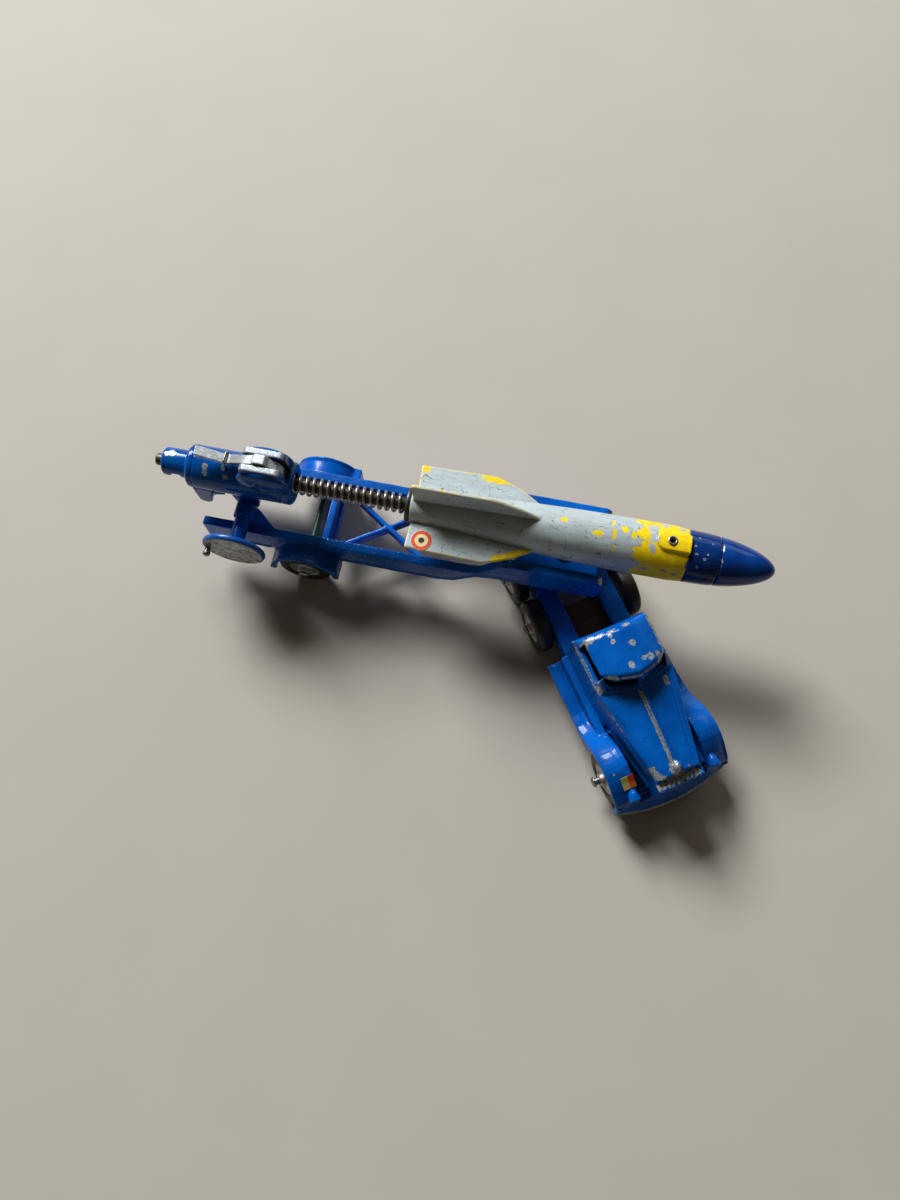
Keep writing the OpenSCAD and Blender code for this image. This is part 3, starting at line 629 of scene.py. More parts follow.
def wheel(label, local, body):
    """Tyre and hub of one wheel, turned about their own axle."""
    tyre, hub = label.replace("*", "tyre"), label.replace("*", "hub")
    low, high, at = box_mid(tyre, local)
    hub_low, hub_high = local_box(hub, local)
    out = 1 if at[1] > 0 else -1
    half, outer, seat = (high[1] - low[1]) / 2, (high[2] - low[2]) / 2, (hub_high[2] - hub_low[2]) / 2
    boss = max(hub_high[1] - at[1], at[1] - hub_low[1])
    wall = [(0.45, seat), (0.15, seat + 0.2), (0, seat + 0.7), (0, outer - 2.0), (0.1, outer - 1.25),
            (0.42, outer - 0.55), (1.0, outer - 0.12), (1.7, outer - 0.03)]
    groove = [(0, seat + 1.45), (0.12, seat + 1.3), (0.12, seat + 1.1), (0, seat + 0.95)]
    section = [(a - half, r) for a, r in wall] + [(0, outer)]
    section += [(half - a, r) for a, r in wall[:2:-1] + groove + wall[2::-1]]
    part = lathe([(a * out, r) for a, r in section], 112, "y", at, True)
    piece(tyre, outward(part), local, body, tyre_black, 50)
    bore = 1.2
    dish = [(-half + 0.3, bore), (-half + 0.5, seat - 0.01), (half - 0.5, seat - 0.01),
            (half - 0.3, seat - 0.35), (half - 0.42, seat - 0.7), (half - 0.85, seat - 0.95),
            (half - 0.8, seat - 1.2), (half - 0.75, 3.1), (half - 0.85, 2.8), (half - 0.6, 2.45),
            (boss - 0.5, 2.2), (boss - 0.12, 2.05), (boss, 1.75), (boss, bore)]
    dish = dish[:1] + rounded(dish[1:], 0.15, 3)
    part = outward(lathe([(a * out, r) for a, r in dish], 96, "y", at, True))
    piece(hub, part, local, body, hub_silver, 35, {"rad": radii(part, at, 1)})


def axle(node, local, body, material=axle_steel):
    low, high, at = box_mid(node, local)
    half = (high[1] - low[1]) / 2
    head, rod = (high[2] - low[2]) / 2, 1.15
    end = [(half, 0), (half - 0.06, head * 0.45), (half - 0.28, head * 0.8), (half - 0.62, head),
           (half - 1.0, head), (half - 1.0, rod + 0.02), (half - 1.02, rod)]
    section = [(-a, r) for a, r in end] + [(a, r) for a, r in reversed(end)]
    part = outward(lathe(section, 64, "y", at))
    coated = (np.hypot(part[0][:, 0] - at[0], part[0][:, 2] - at[2]) < rod + 0.01) * 1.0
    piece(node, part, local, body, material, 35, {"coated": coated})


def turned_node(node, local, body, profile, material, axis="x", soft=0.12):
    """A turned piece between its node's two ends; profile(a, b, r) gives the points between them."""
    low, high, at = box_mid(node, local)
    along = "xyz".index(axis)
    across = 2 if along < 2 else 0
    a, b, r = low[along], high[along], (high[across] - low[across]) / 2
    at[along] = 0
    section = [(a, 0)] + profile(a, b, r) + [(b, 0)]
    part = outward(lathe(rounded(section, soft, 3), 128, axis, at))
    piece(node, part, local, body, material, 35, {"rad": radii(part, at, along)})


# ---- wheels and axles ----
for side in ("near", "far"):
    wheel("trailer_*_" + side, TRAILER, "trailer_wheel_" + side)
rows = ("front", "mid", "rear")
for row in rows:
    for side in ("right", "left"):
        wheel(f"{row}_*_{side}", TRACTOR, f"{row}_wheel_{side}")
axle("trailer_axle", TRAILER, "trailer", axle_green)
for row in rows:
    axle(row + "_axle_rod", TRACTOR, "tractor")

# ---- trailer frame ----
low, high = local_box("trailer_frame", TRAILER)
RAIL_OUT, RAIL_IN = 13.55, 10.35
RAIL_BOT, RAIL_TOP, NECK_BOT, NECK_TOP = 10.8, 22.2, 21.5, high[2]
REAR, FRONT = low[0], high[0]


def strip(path, half, y0, y1):
    """A lengthwise moulding on a rail's face, drawn as (x, z) points."""
    top = [(x, z + half) for x, z in path]
    return prism(top + [(x, z - half) for x, z in reversed(path)], y0, y1)


lip = []
for side in (-1, 1):
    y0, y1 = sorted((side * (RAIL_OUT - 0.4), side * (RAIL_OUT + 0.35)))
    swan_neck = [(12.8, RAIL_BOT + 0.8), (46, RAIL_BOT + 0.8), (52, RAIL_BOT + 2.4), (60, NECK_BOT - 0.8),
                 (66, NECK_BOT + 0.8), (FRONT - 1.2, NECK_BOT + 0.8)]
    rear_end = [(REAR + 0.6, RAIL_BOT + 0.8), (-13.5, RAIL_BOT + 0.8)]
    lip += [strip(path, 0.5, y0, y1) for path in (swan_neck, rear_end)]


def trailer_shape(v, n, q):
    """Waves where paint gathered on the faces, and a beaded near rail top."""
    x, y, z = v.T
    wave = 0.05 * np.sin(x * 0.83 + 2 * np.sin(y * 0.7)) + 0.04 * np.sin(x * 0.31 + y)
    beads = 0.09 * np.sin(x * 4.1 + 1.3 * np.sin(y * 3.0)) * np.sin(y * 4.4 + np.sin(x * 2.3))
    near_top = step(z, RAIL_TOP - 1.2, RAIL_TOP - 0.4) * step(-y, 10, 10.8)
    beads *= near_top * step(x, -22, -14) * (1 - step(x, 44, 52))
    return v + n * (wave * 0.5 + beads)[:, None]


def trailer_gain(v, n):
    x, y, z = v.T
    raised = step(x, 66, 72) * step(z, 31, 33)
    return 0.34 + 0.34 * raised + 0.2 * step(x, 98, 100) + 0.18 * step(x, REAR + 2, REAR)


chips = [(70.2, -11.2, NECK_TOP, 0.8), (86.7, -10.3, NECK_TOP, 0.8), (86.9, 10.4, NECK_TOP, 0.8),
         (99.8, -12, NECK_TOP - 1.4, 2.2), (99.8, 12, NECK_TOP - 1.4, 1.6)]
cast("trailer_frame", 0.27, TRAILER, "trailer", blue, 6, trailer_shape, trailer_gain, chips,
     extra=lip)

# ---- tractor chassis ----
cast("tractor_chassis", 0.3, TRACTOR, "tractor", blue, gain=lambda v, n: 0.4)

# ---- cab casting ----
BONNET_Y, CAB_Y = 7.2, 12.9
LAMP_Y, LAMP_Z = 14.2, 17.6
WING_TOP = ((50, 54, 57, 60, 63, 66, 69, 72, 75, 80, 82.6, 84),
            (10.6, 11.4, 13, 15.6, 18.7, 21, 22, 22.2, 21.4, 18.2, 15.6, 13))


def cab_shape(v, n, q):
    v = v.copy()
    x, y, z = v.T
    out = np.abs(y)
    side = np.sign(y)
    # crowned wings, their outline's corners smoothed
    top = np.interp(x, *WING_TOP)
    smooth = sum(w * np.interp(x + d, *WING_TOP) for d, w in
                 ((-3, 0.1), (-2, 0.15), (-1, 0.16), (0, 0.18), (1, 0.16), (2, 0.15), (3, 0.1)))
    crown = 2.0 * np.clip((out - 13.5) / 6.8, 0, 1) ** 2.4
    on_wing = step(x, 52, 60) * (1 - step(x, 83.2, 84)) * step(out, 12.8, 14)
    near_top = np.clip((z - (top - 2.6)) / 2.4, 0, 1)
    v[:, 2] += (1 - step(x, 80, 82)) * on_wing * near_top * (smooth - top) - on_wing * near_top * crown
    # one soft lengthwise ridge on each running board
    board = step(x, 31.6, 33) * (1 - step(x, 52, 58)) * step(n[:, 2], 0.4, 0.8) * (z < 12.5)
    v[:, 2] += 0.35 * board * step(line(out, 16.9, 1.3), 0, 1)
    # door outline and sill line
    flank = step(np.abs(n[:, 1]), 0.75, 0.9) * (np.abs(out - CAB_Y) < 0.8) * (x > 30) * (x < 51)
    door = np.maximum(line(x, 33.0, 0.35) + line(x, 48.2, 0.35), 0) * (z > 17.4) * (z < 29)
    door = np.maximum(door, line(z, 17.4, 0.35) * (x > 33) * (x < 48.2))
    v[:, 1] -= side * 0.28 * flank * np.clip(door, 0, 1)
    # belt moulding that runs on from the cab along the bonnet
    belt_y = np.interp(x, (46, 81), (CAB_Y, BONNET_Y + 0.3))
    belt = step(x, 49, 52) * (1 - step(x, 76, 80)) * (np.abs(out - belt_y) < 2.2)
    belt *= step(np.abs(n[:, 1]), 0.5, 0.8)
    belt_z = np.interp(x, (49, 81), (26.6, 23.6))
    v[:, 1] += side * 0.25 * belt * np.clip(line(z, belt_z, 0.5) + line(z, belt_z - 1.5, 0.5), 0, 1)
    # raised lines along both top edges of the bonnet
    top_line = step(x, 51, 53) * (1 - step(x, 72, 78)) * step(n[:, 2], 0.5, 0.8) * (z > 22)
    v[:, 2] += 0.25 * top_line * np.clip(line(out, belt_y - 0.6, 0.45) + line(out, belt_y - 2.0, 0.45), 0, 1)
    # grille bars and the shell's groove
    face = step(n[:, 0], 0.7, 0.9) * (x > 80) * (x < 84.4) * (out < 6.9) * (z > 12.8) * (z < 24.6)
    bars = np.clip(np.cos(y * 2 * math.pi / 1.55) * 1.4, -1, 1)
    v[:, 0] -= face * (0.25 + 0.25 * bars)
    shelf = (x > 81.2) * (z > 23.8) * (out < 7.4) * step(n[:, 2], 0.4, 0.8)
    v[:, 2] += shelf * (0.16 * bars - 0.14)
    # lens ring on the lamps
    lamp = (x > 82.2) * step(n[:, 0], 0.6, 0.9) * (np.hypot(z - LAMP_Z, out - LAMP_Y) < 1.35)
    v[:, 0] -= 0.3 * lamp
    return v


def cab_gain(v, n):
    x, y, z = v.T
    out = np.abs(y)
    window = step(out, 10.4, 11.4) * step(x, 30, 31) * (1 - step(x, 49.5, 51.5)) * step(z, 26.5, 28.5)
    right = window * (y < 0)
    screen = step(x, 45, 46.5) * (1 - step(x, 52, 53)) * step(z, 29.5, 30.5) * (out < 11)
    roof = step(z, 33.5, 35.5)
    nose = step(x, 79.5, 81)
    board = (z < 11.5) * step(out, 18, 19)
    foot = step(x, 82, 83) * step(-z, -7.1, -6.6)
    cab = 0.62 * right + 0.3 * window + 0.34 * screen + 0.2 * roof
    return 0.34 + cab + 0.35 * nose + 0.14 * board + 0.7 * foot


# Worn places on the cab as (x, y, z, radius[, stretch x, y, z]).
SPINE = [(x, 0, 31.5 - (x - 53.7) * 0.142, 2.2, 1.2, 0.5, 1) for x in np.arange(54.2, 79.2, 0.6)]
SHELF = [(82.3, y, 24.8, 2.0 + 0.5 * math.sin(2.3 * y)) for y in np.arange(-7, 7.1, 1.0)]
PILLARS = [(x, -12.7 + 0.4 * math.sin(x), 29.3, 1.7 + 0.5 * math.sin(1.7 * x), 1.2, 1, 0.8)
           for x in np.arange(33.5, 50, 1.5)]
BUMPER = [(27.7 + math.sqrt(3600 - y * y), y, 6.1, 1.3 + 0.3 * math.sin(1.9 * y))
          for y in np.arange(-19.4, 19.5, 0.7)]
EAVE = [(x, 11.3, 35.8, 1.3 + 0.5 * math.sin(2.1 * x), 1.2, 1, 1) for x in np.arange(34.5, 46, 1.0)]
VISOR = [(50.0 - 0.33 * abs(y), y, 37.6 - 0.16 * abs(y), 1.4 + 0.4 * math.sin(2.7 * y), 1, 1.2, 0.8)
         for y in np.arange(-10.5, 10.6, 1.0)]
ROOF = [(34.2, -11.2, 36.1, 3.6, 1, 1, 1), (33.8, -8.6, 36.8, 2.6), (34.1, -5.8, 37.4, 1.7, 1, 2, 1),
        (34.1, -1.7, 38.1, 1.4, 1, 2, 1), (33.6, 3.2, 38.0, 2.3, 0.8, 1.2, 1), (35.3, -3.0, 38.6, 1.5),
        (37.3, -3.0, 38.9, 1.5), (40.0, 2.2, 39.0, 2.1), (46.3, -0.9, 38.7, 2.0, 1.3, 0.9, 1),
        (41.8, -9.2, 37.4, 1.0), (45.6, 3.4, 38.3, 1.8), (45.8, 5.6, 37.8, 2.4), (45.9, 8.4, 36.7, 2.4),
        (34.4, 11.3, 36.1, 1.8), (37.0, 11.5, 35.8, 1.6, 2, 1, 1)]
WINDOW = [(34.6, -12.6, 33.6, 3.4), (37.5, -12.4, 33.6, 2.4), (41.8, -12.3, 33.8, 2.2, 1.6, 1, 1),
          (46.0, -12.3, 33.0, 2.8), (48.6, -12.0, 31.0, 2.8), (34.5, -12.9, 29.2, 2.0, 2, 1, 1),
          (41.5, -12.9, 29.2, 1.9, 3, 1, 1), (47.0, -12.9, 29.0, 2.4)]
BONNET = [(58.1, -11.3, 28.2, 2.0, 1.4, 0.8, 1), (60.5, -11.0, 28.1, 1.9, 1.4, 0.8, 1),
          (62.4, -10.7, 28.0, 2.2, 1.4, 0.8, 1), (64.8, -10.3, 27.6, 2.0, 1.4, 0.8, 1),
          (67.0, -9.8, 26.8, 1.5), (76.9, -6.6, 26.2, 2.4, 1, 1.3, 1), (78.9, -6.4, 26.2, 2.8, 1, 1.4, 1),
          (80.2, -4.0, 26.2, 1.9, 0.7, 2, 1), (79.7, 4.5, 26.8, 1.2), (53.4, 9.4, 29.8, 2.2, 1.5, 0.8, 1),
          (73.3, -16.7, 21.4, 0.8), (81.6, 0, 25.5, 3.0, 1, 2.6, 0.7), (78.8, 0, 28.1, 6.0, 0.7, 0.5, 1)]
cab_marks = SPINE + SHELF + PILLARS + BUMPER + EAVE + VISOR + ROOF + WINDOW + BONNET


def cab_shaded_inside(v, n):
    """1 on faces that look into the cab or the bonnet, which get painted shade, near black."""
    x, y, z = v.T
    middle = np.stack([np.clip(x, 38, 74), np.zeros(len(v)), np.full(len(v), 24.0)], 1)
    away = v - middle
    away /= np.maximum(np.linalg.norm(away, axis=1), 1e-6)[:, None]
    box = (np.abs(y) < CAB_Y - 0.9) * (x > 31.6) * (x < 81)
    return box * step(-(away * n).sum(1), 0.1, 0.5)


cast("cab_casting", 0.26, TRACTOR, "tractor", blue, 4, cab_shape, cab_gain, cab_marks,
     cab_shaded_inside)

# ---- launcher ----
tube_low, tube_high = local_box("launcher_casting", TRAILER)
pivot = box_mid("trigger_pin", TRAILER)[2]
TUBE_R, BARREL_R, TUBE_REAR, TUBE_FRONT = 7.1, 4.6, -38.8, tube_high[0]


def launcher_shape(v, n, q):
    v = v.copy()
    x, y, z = v.T
    r = np.hypot(y, z - BORE_Z)
    want = np.where(x < TUBE_REAR, BARREL_R, TUBE_R)
    close = (np.abs(r - want) < 0.3) * (x > tube_low[0] + 1) * (x < TUBE_FRONT - 1)
    close = close * (np.abs(x - TUBE_REAR) > 1.1)
    pull = np.where(close, want / np.maximum(r, 1e-6), 1)
    v[:, 1] *= pull
    v[:, 2] = BORE_Z + (z - BORE_Z) * pull
    # turned line behind the front collar and ahead of the breech step
    ring = np.clip(line(x, TUBE_FRONT - 3.2, 0.4) + line(x, TUBE_REAR + 2.6, 0.35), 0, 1) * close
    return v - n * (0.25 * ring)[:, None]


def launcher_gain(v, n):
    x, y, z = v.T
    return 0.3 + 1.1 * step(z, 49.6, 50.6) + 0.15 * step(x, TUBE_FRONT - 1, TUBE_FRONT)


humps = [ball((-12.4, s * 4.35, 44.2), (8.6, 2.4, 6.4)) for s in (-1, 1)]
bosses = [lathe([(s * 5.2, 1.5), (s * 6.6, 1.5), (s * 6.9, 1.2), (s * 6.9, 0.6), (s * 5.2, 0.6)][::s],
                48, "y", (pivot[0], 0, pivot[2] - 3.4), True) for s in (-1, 1)]
worn_tops = [(x, s * 3.05, 51.0, 1.9, 1.3, 1.2, 0.6) for x in np.arange(-18.6, -5.6, 1.0) for s in (-1, 1)]


def launcher_shaded_inside(v, n):
    """1 inside the barrel's notch, the sear slot and the spring chamber, which get painted shade, near black.
    """
    x, y, z = v.T
    r = np.hypot(y, z - BORE_Z)
    notch = (x > -46) * (x < -40.8) * (y < 0) * step(r, BARREL_R - 0.2, BARREL_R - 0.7)
    slot = (x > -19.8) * (x < -4.2) * (np.abs(y) < 2.1) * step(z, 50.4, 49.4)
    chamber = (r < 3.9) * (x > -24.5)
    return np.maximum(np.maximum(notch, slot), chamber)


chips = [(-31.7, -2.4, 44.8, 1.9), (-31.5, -4.2, 43.8, 2.2, 0.8, 1, 1.2), (-25.6, -1.8, 44.9, 2.0, 0.8, 1, 1),
         (-24.8, -4.4, 43.6, 1.6), (-17.6, -5.2, 43.0, 1.1), (-44.4, 1.2, 42.6, 2.4), (-45.8, 0.4, 42.6, 1.5)]
cast("launcher_casting", 0.22, TRAILER, "launcher", blue_launcher_shaded, 4, launcher_shape,
     launcher_gain, worn_tops + chips, launcher_shaded_inside, humps + bosses)

turned_node("elevating_shaft", TRAILER, "launcher",
            lambda a, b, r: [(a, r), (-14.4, r), (-14.2, r - 0.2), (-13.9, r), (b, r)],
            blue, "y")
low, high, mid = box_mid("hand_wheel", TRAILER)
rim, face = (high[2] - low[2]) / 2, low[1]
section = [(high[1], 0), (high[1], rim - 0.9), (high[1] - 0.3, rim - 0.25), (high[1] - 0.8, rim)]
section += [(face + a, r) for a, r in (
    (0.7, rim), (0.15, rim - 0.3), (0, rim - 0.9), (0.22, rim - 1.4), (0.28, rim - 2.2),
    (0.25, 3.4), (0.12, 3.0), (0.05, 1.4), (0.2, 1.0), (0.25, 0))]
part = outward(lathe(rounded(section, 0.3, 3), 128, "y", (mid[0], 0, mid[2])))
back = step(part[0][:, 1], low[1] + 0.5, low[1] + 1.0)
piece("hand_wheel", part, TRAILER, "launcher", disc_silver, 40,
      {"rad": radii(part, mid, 1), "wear": back})
turned_node("hand_wheel_peg", TRAILER, "launcher",
            lambda a, b, r: [(a, r * 0.55), (a + 0.5, r), (b - 1.6, r), (b - 1.2, r * 0.8), (b, r * 0.8)],
            axle_steel, "y", 0.3)

# ---- trigger ----
# the lever is darkened from x -23 to about -17 as painted shade
cast("trigger_lever", 0.13, TRAILER, "trigger", lever_steel, 3,
     lambda v, n, q: v - n * (0.18 * line(v[:, 0], -23.2, 0.35))[:, None],
     inside_shade=lambda v, n: step(v[:, 0], -23.1, -22.7) * (1 - step(v[:, 0], -19.5, -16.5)))
turned_node("trigger_pin", TRAILER, "launcher",
            lambda a, b, r: [(a + 0.05, r * 0.7), (a + 0.3, r), (b - 0.3, r), (b - 0.05, r * 0.7)],
            bright_steel, "y")
low, high, mid = box_mid("trigger_staple", TRAILER)
wire = (high[0] - low[0]) / 2
leg, crown = (high[1] - low[1]) / 2 - wire, high[2] - wire
bends = ((-leg, low[2]), (-leg, crown), (leg, crown), (leg, low[2]))
path = rounded([(mid[0], y, z) for y, z in bends], 0.9, 8)
piece("trigger_staple", outward(tube(path, wire, 16)), TRAILER, "launcher", bright_steel, 50)

# ---- plunger and spring ----
turned_node("plunger_rod", TRAILER, "plunger",
            lambda a, b, r: [(a, r - 0.5), (a + 0.5, r), (-46.4, r), (-46.2, r - 0.35), (-45.6, r - 0.35),
                             (-45.4, r), (b, r)], dark_steel)
turned_node("pusher_flange", TRAILER, "plunger",
            lambda a, b, r: [(a, 3.4), (a + 0.15, 3.7), (a + 0.15, r - 0.7), (a, r - 0.5), (a + 0.2, r - 0.1),
                             (a + 0.5, r), (a + 0.95, r), (a + 1.35, r - 0.3), (a + 1.38, 2.9),
                             (b - 0.6, 2.9), (b, 2.3)], flange_steel)
low, high = local_box("firing_spring", TRAILER)
wire = 0.5
x0, x1, coil_r, coils = low[0] + wire, high[0] - wire, (high[2] - low[2]) / 2 - wire, 24
turns = np.linspace(0, coils, coils * 40 + 1)
helix = np.stack([x0 + (x1 - x0) * turns / coils, coil_r * np.cos(2 * math.pi * turns),
                  coil_r * np.sin(2 * math.pi * turns) + BORE_Z], 1)
part = outward(tube(helix, wire * 0.995, 12))
spring = piece("firing_spring", part, TRAILER, None, spring_steel, 50)
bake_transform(spring)

# ---- rocket ----
low, high = local_box("rocket_body", TRAILER)
TAIL, BAND = low[0], high[0]
BODY_R, FIN_R, FIN_HALF = 8.75, (high[2] - low[2]) / 2, 0.6


def body_radius(x):
    tail = np.interp(x, (TAIL, TAIL + 0.5, 44), (5.2, 5.7, 5.95))
    swell = 5.95 + (BODY_R - 5.95) * np.sin(np.clip((x - 44) / 64, 0, 1) * math.pi / 2)
    front = np.interp(x, (120, BAND - 0.3, BAND), (BODY_R, 8.4, 8.05))
    return np.where(x < 44, tail, np.where(x < 108, swell, front))


def rocket_shape(v, n, q):
    v = v.copy()
    x, y, z = v[:, 0], v[:, 1], v[:, 2] - BORE_Z
    r = np.hypot(y, z)
    want = body_radius(x)
    fin_gap = np.minimum(np.abs(y), np.abs(z)) - FIN_HALF
    clear = np.where(x < 82, step(fin_gap, 0.5, 1.0), 1.0)
    lug = (z > 0) * (np.abs(y) < 4.4) * (x > 112)
    close = (np.abs(r - want) < 0.3) * clear * (x > TAIL + 1) * (x < BAND - 0.8) * (1 - lug)
    pull = 1 + close * (want / np.maximum(r, 1e-6) - 1)
    v[:, 1] = y * pull
    v[:, 2] = BORE_Z + z * pull
    return v


rocket_yellow = [
    (96.2, -1.7, 46.3, 1.8), (94.6, -1.5, 46.2, 1.5, 1.4, 0.8, 1), (99.9, 3.2, 46.3, 2.0, 0.5, 1.2, 1),
    (100.4, -0.8, 46.9, 2.6, 0.35, 1.4, 1), (101.0, -4.4, 45.6, 1.8, 0.4, 1.4, 1), (103.8, 1.4, 46.9, 1.8),
    (106.4, -0.2, 46.9, 1.5, 1, 1.4, 1), (84.6, 1.2, 45.6, 1.9), (87.6, 2.4, 45.6, 1.1),
    (78.4, 1.4, 44.6, 1.6)]
rocket_grey = [
    (112.6, 3.4, 46.2, 2.6, 0.9, 1.6, 1), (113.0, 0.2, 47.0, 2.6, 0.8, 1.5, 1),
    (112.8, -3.2, 46.4, 2.0, 0.8, 1.4, 1), (116.2, 6.0, 44.6, 2.0), (121.4, 5.6, 44.8, 2.0)]
rocket_bare = [
    (124.0, -5.6, 44.3, 2.2, 0.5, 1.8, 1), (124.2, -3.0, 46.0, 1.5, 0.5, 1.6, 1),
    (117.4, -7.9, 41.6, 1.1, 2.2, 0.7, 1), (111.6, -8.1, 41.2, 1.2, 1.6, 0.7, 1),
    (121.0, -8.2, 41.0, 1.0, 2.0, 0.7, 1), (124.0, 5.0, 45.2, 1.5, 0.6, 1.4, 1)]


def cast_rocket():
    v, q = skin("rocket_body", 0.24, TRAILER, 2)
    v = rocket_shape(v, normals(v, q), q)
    n = normals(v, q)
    bulge = ((v - relax(v, q, 6, 0.5)) * n).sum(1)
    # the concave measure here feeds painted shade in the rocket's finish
    edge, pit_shade = np.clip(bulge / 0.09, 0, 1), np.clip(-bulge / 0.09, 0, 1)
    x, y, z = v[:, 0], v[:, 1], v[:, 2] - BORE_Z
    r = np.hypot(y, z)
    out = np.clip((r - body_radius(x)) / (FIN_R - body_radius(x)), 0, 1)
    top_fin = (z > 5) * (np.abs(y) < 1.5)
    far_fin = (y > 5) * (np.abs(z) < 1.5)
    near_fin = (y < -5) * (np.abs(z) < 1.5) * (x < 80.5) * (r > body_radius(x) + 0.4)
    inside = r - np.interp(x, (61, 80.5), (15.3, 6))
    wander = x + 1.3 * np.sin(1.1 * y + 0.5) + 0.8 * np.sin(2.7 * y)
    # where the silver stops short of the yellow, is rubbed off or was never sprayed
    yellow = np.maximum.reduce([
        0.98 * step(wander, 103.0, 112.4),
        0.9 * edge * (0.45 + 0.5 * step(out, 0.1, 0.3)) * (x < 84),
        0.74 * far_fin * step(x, 51, 60) * step(out, 0.45, 0.85),
        0.72 * far_fin * step(x, 40.5, 38) * step(out, 0.5, 0.8),
        0.72 * near_fin * step(x, 60, 66) * step(inside, -2.4, -0.6),
        0.85 * top_fin * step(x, 60, 68) * edge,
        0.5 * step(x, TAIL + 1.3, TAIL + 0.3),
        0.9 * spots(v, rocket_yellow) ** 0.6])
    yellow = yellow - 0.75 * np.sqrt(spots(v, rocket_grey))
    bare = spots(v, rocket_bare) ** 0.8
    bare = np.maximum(bare, 0.55 * edge * (x > 110))
    piece("rocket_body", (v, q.tolist()), TRAILER, "rocket", rocket_paint, None,
          {"yellow": yellow, "bare": bare, "pit_shade": pit_shade})


cast_rocket()


def painted_turning(node, section, material, gain, marks):
    """A turned piece in fine rings, with wear at its corners and at marks."""
    section = rounded(section, 0.3, 4)
    fine = [section[0]]
    for a, b in zip(section, section[1:]):
        count = max(1, int(math.dist(a, b) / 0.35))
        a, b = np.array(a), np.array(b)
        fine += [tuple(a + (b - a) * k / count) for k in range(1, count + 1)]
    part = outward(lathe(fine, 160, "x", (0, 0, BORE_Z)))
    wear = np.zeros(len(part[0]))
    for x, strength, width in gain:
        wear = np.maximum(wear, strength * line(part[0][:, 0], x, width))
    wear = np.maximum(wear, spots(part[0], marks))
    piece(node, part, TRAILER, "rocket", material, 35, {"wear": wear})


low, high = local_box("nose_band", TRAILER)
TIP = high[0]
painted_turning("nose_band",
                [(low[0], 0), (low[0], 6.6), (BAND, 6.85), (BAND, 8.15), (BAND + 0.4, 8.4), (BAND + 1.0, 8.4),
                 (TIP - 3.6, 8.22), (TIP - 0.5, 7.95), (TIP - 0.1, 7.6), (TIP, 7.3), (TIP, 0)],
                band_paint, [(BAND + 0.4, 0.42, 0.5), (TIP - 0.4, 0.62, 0.45)],
                [(125.8, 0.2, 46.5, 1.0), (126.3, -2.2, 46.2, 1.2), (129.0, -3.3, 45.8, 1.5, 1, 0.8, 1),
                 (129.9, -1.8, 46.2, 1.1), (127.0, 3.4, 45.8, 0.9), (131.0, 2.0, 46.0, 1.0),
                 (127.4, -5.6, 44.2, 1.0)])
low, high = local_box("nose_tip", TRAILER)
ogive = [(TIP + 0.35 + (high[0] - TIP - 0.35) * math.sin(math.pi / 2 * k / 40),
          7.85 * math.sqrt(1 - math.sin(math.pi / 2 * k / 40) ** 1.4)) for k in range(1, 40)]
painted_turning("nose_tip",
                [(low[0], 0), (low[0], 4.4), (TIP + 0.03, 4.4), (TIP + 0.03, 7.35), (TIP + 0.14, 7.7),
                 (TIP + 0.45, 7.86)] + ogive + [(high[0], 0)],
                nose_paint, [(TIP + 0.3, 0.56, 0.45)],
                [(TIP + 0.3, 1.5, 45.8, 3.2, 0.25, 1, 0.6), (TIP + 0.3, -2.6, 45.4, 1.6, 0.4, 1, 1)])
low, high, mid = box_mid("nose_eyelet", TRAILER)
top, eye, hole = high[2], (high[0] - low[0]) / 2, 0.8
section = rounded([(low[2], hole), (low[2], 1.2), (top - 0.36, 1.2), (top - 0.34, eye),
                   (top - 0.1, eye - 0.05), (top, eye - 0.4), (top - 0.02, 1.0), (top - 0.25, hole),
                   (low[2], hole)], 0.12, 3)
part = outward(lathe(section[:-1], 64, "z", (mid[0], mid[1], 0), True))
piece("nose_eyelet", part, TRAILER, "rocket", bright_steel, 40)

# ---- tractor's small pieces ----
turned_node("kingpin", TRAILER, "trailer",
            lambda a, b, r: [(a, 2.8), (a + 1.3, 2.8), (a + 1.3, 2), (b - 0.7, 2), (b - 0.7, 3.4),
                             (b - 0.1, 3.0), (b, 1.6)], bright_steel, "z")
low, high, mid = box_mid("kingpin_washer", TRAILER)
r, hole = (high[0] - low[0]) / 2, 2.06
part = outward(lathe([(low[2], hole), (low[2], r - 0.15), (low[2] + 0.15, r), (high[2] - 0.15, r),
                      (high[2], r - 0.15), (high[2], hole)], 96, "z", (mid[0], mid[1], 0), True))
piece("kingpin_washer", part, TRAILER, "trailer", bright_steel, 40)
for node in ("floor_rivet_front", "floor_rivet_rear"):
    turned_node(node, TRACTOR, "tractor",
                lambda a, b, r: [(a + 0.1, 1.1), (a + 0.45, 1.8), (a + 0.85, 2), (a + 0.9, 1.2),
                                 (b - 0.2, 1.2), (b, 1.0)], bright_steel, "z")
low, high = local_box("floor_plate", TRACTOR)
x, y = np.meshgrid(np.linspace(low[0], high[0], 140), np.linspace(low[1], high[1], 26), indexing="ij")
edge = np.minimum(np.minimum(x - low[0], high[0] - x), np.minimum(y - low[1], high[1] - y))
sink = 0.12 * np.clip(1 - edge / 0.5, 0, 1)                 # rolled edge
fold = 0.35 * line(x, low[0] + 7.5, 0.8)                    # crease across the plate
part = sheet(np.stack([x, y, low[2] + sink], 2), np.stack([x, y, high[2] - sink - fold], 2))
piece("floor_plate", part, TRACTOR, "tractor", floor_brown, 40)

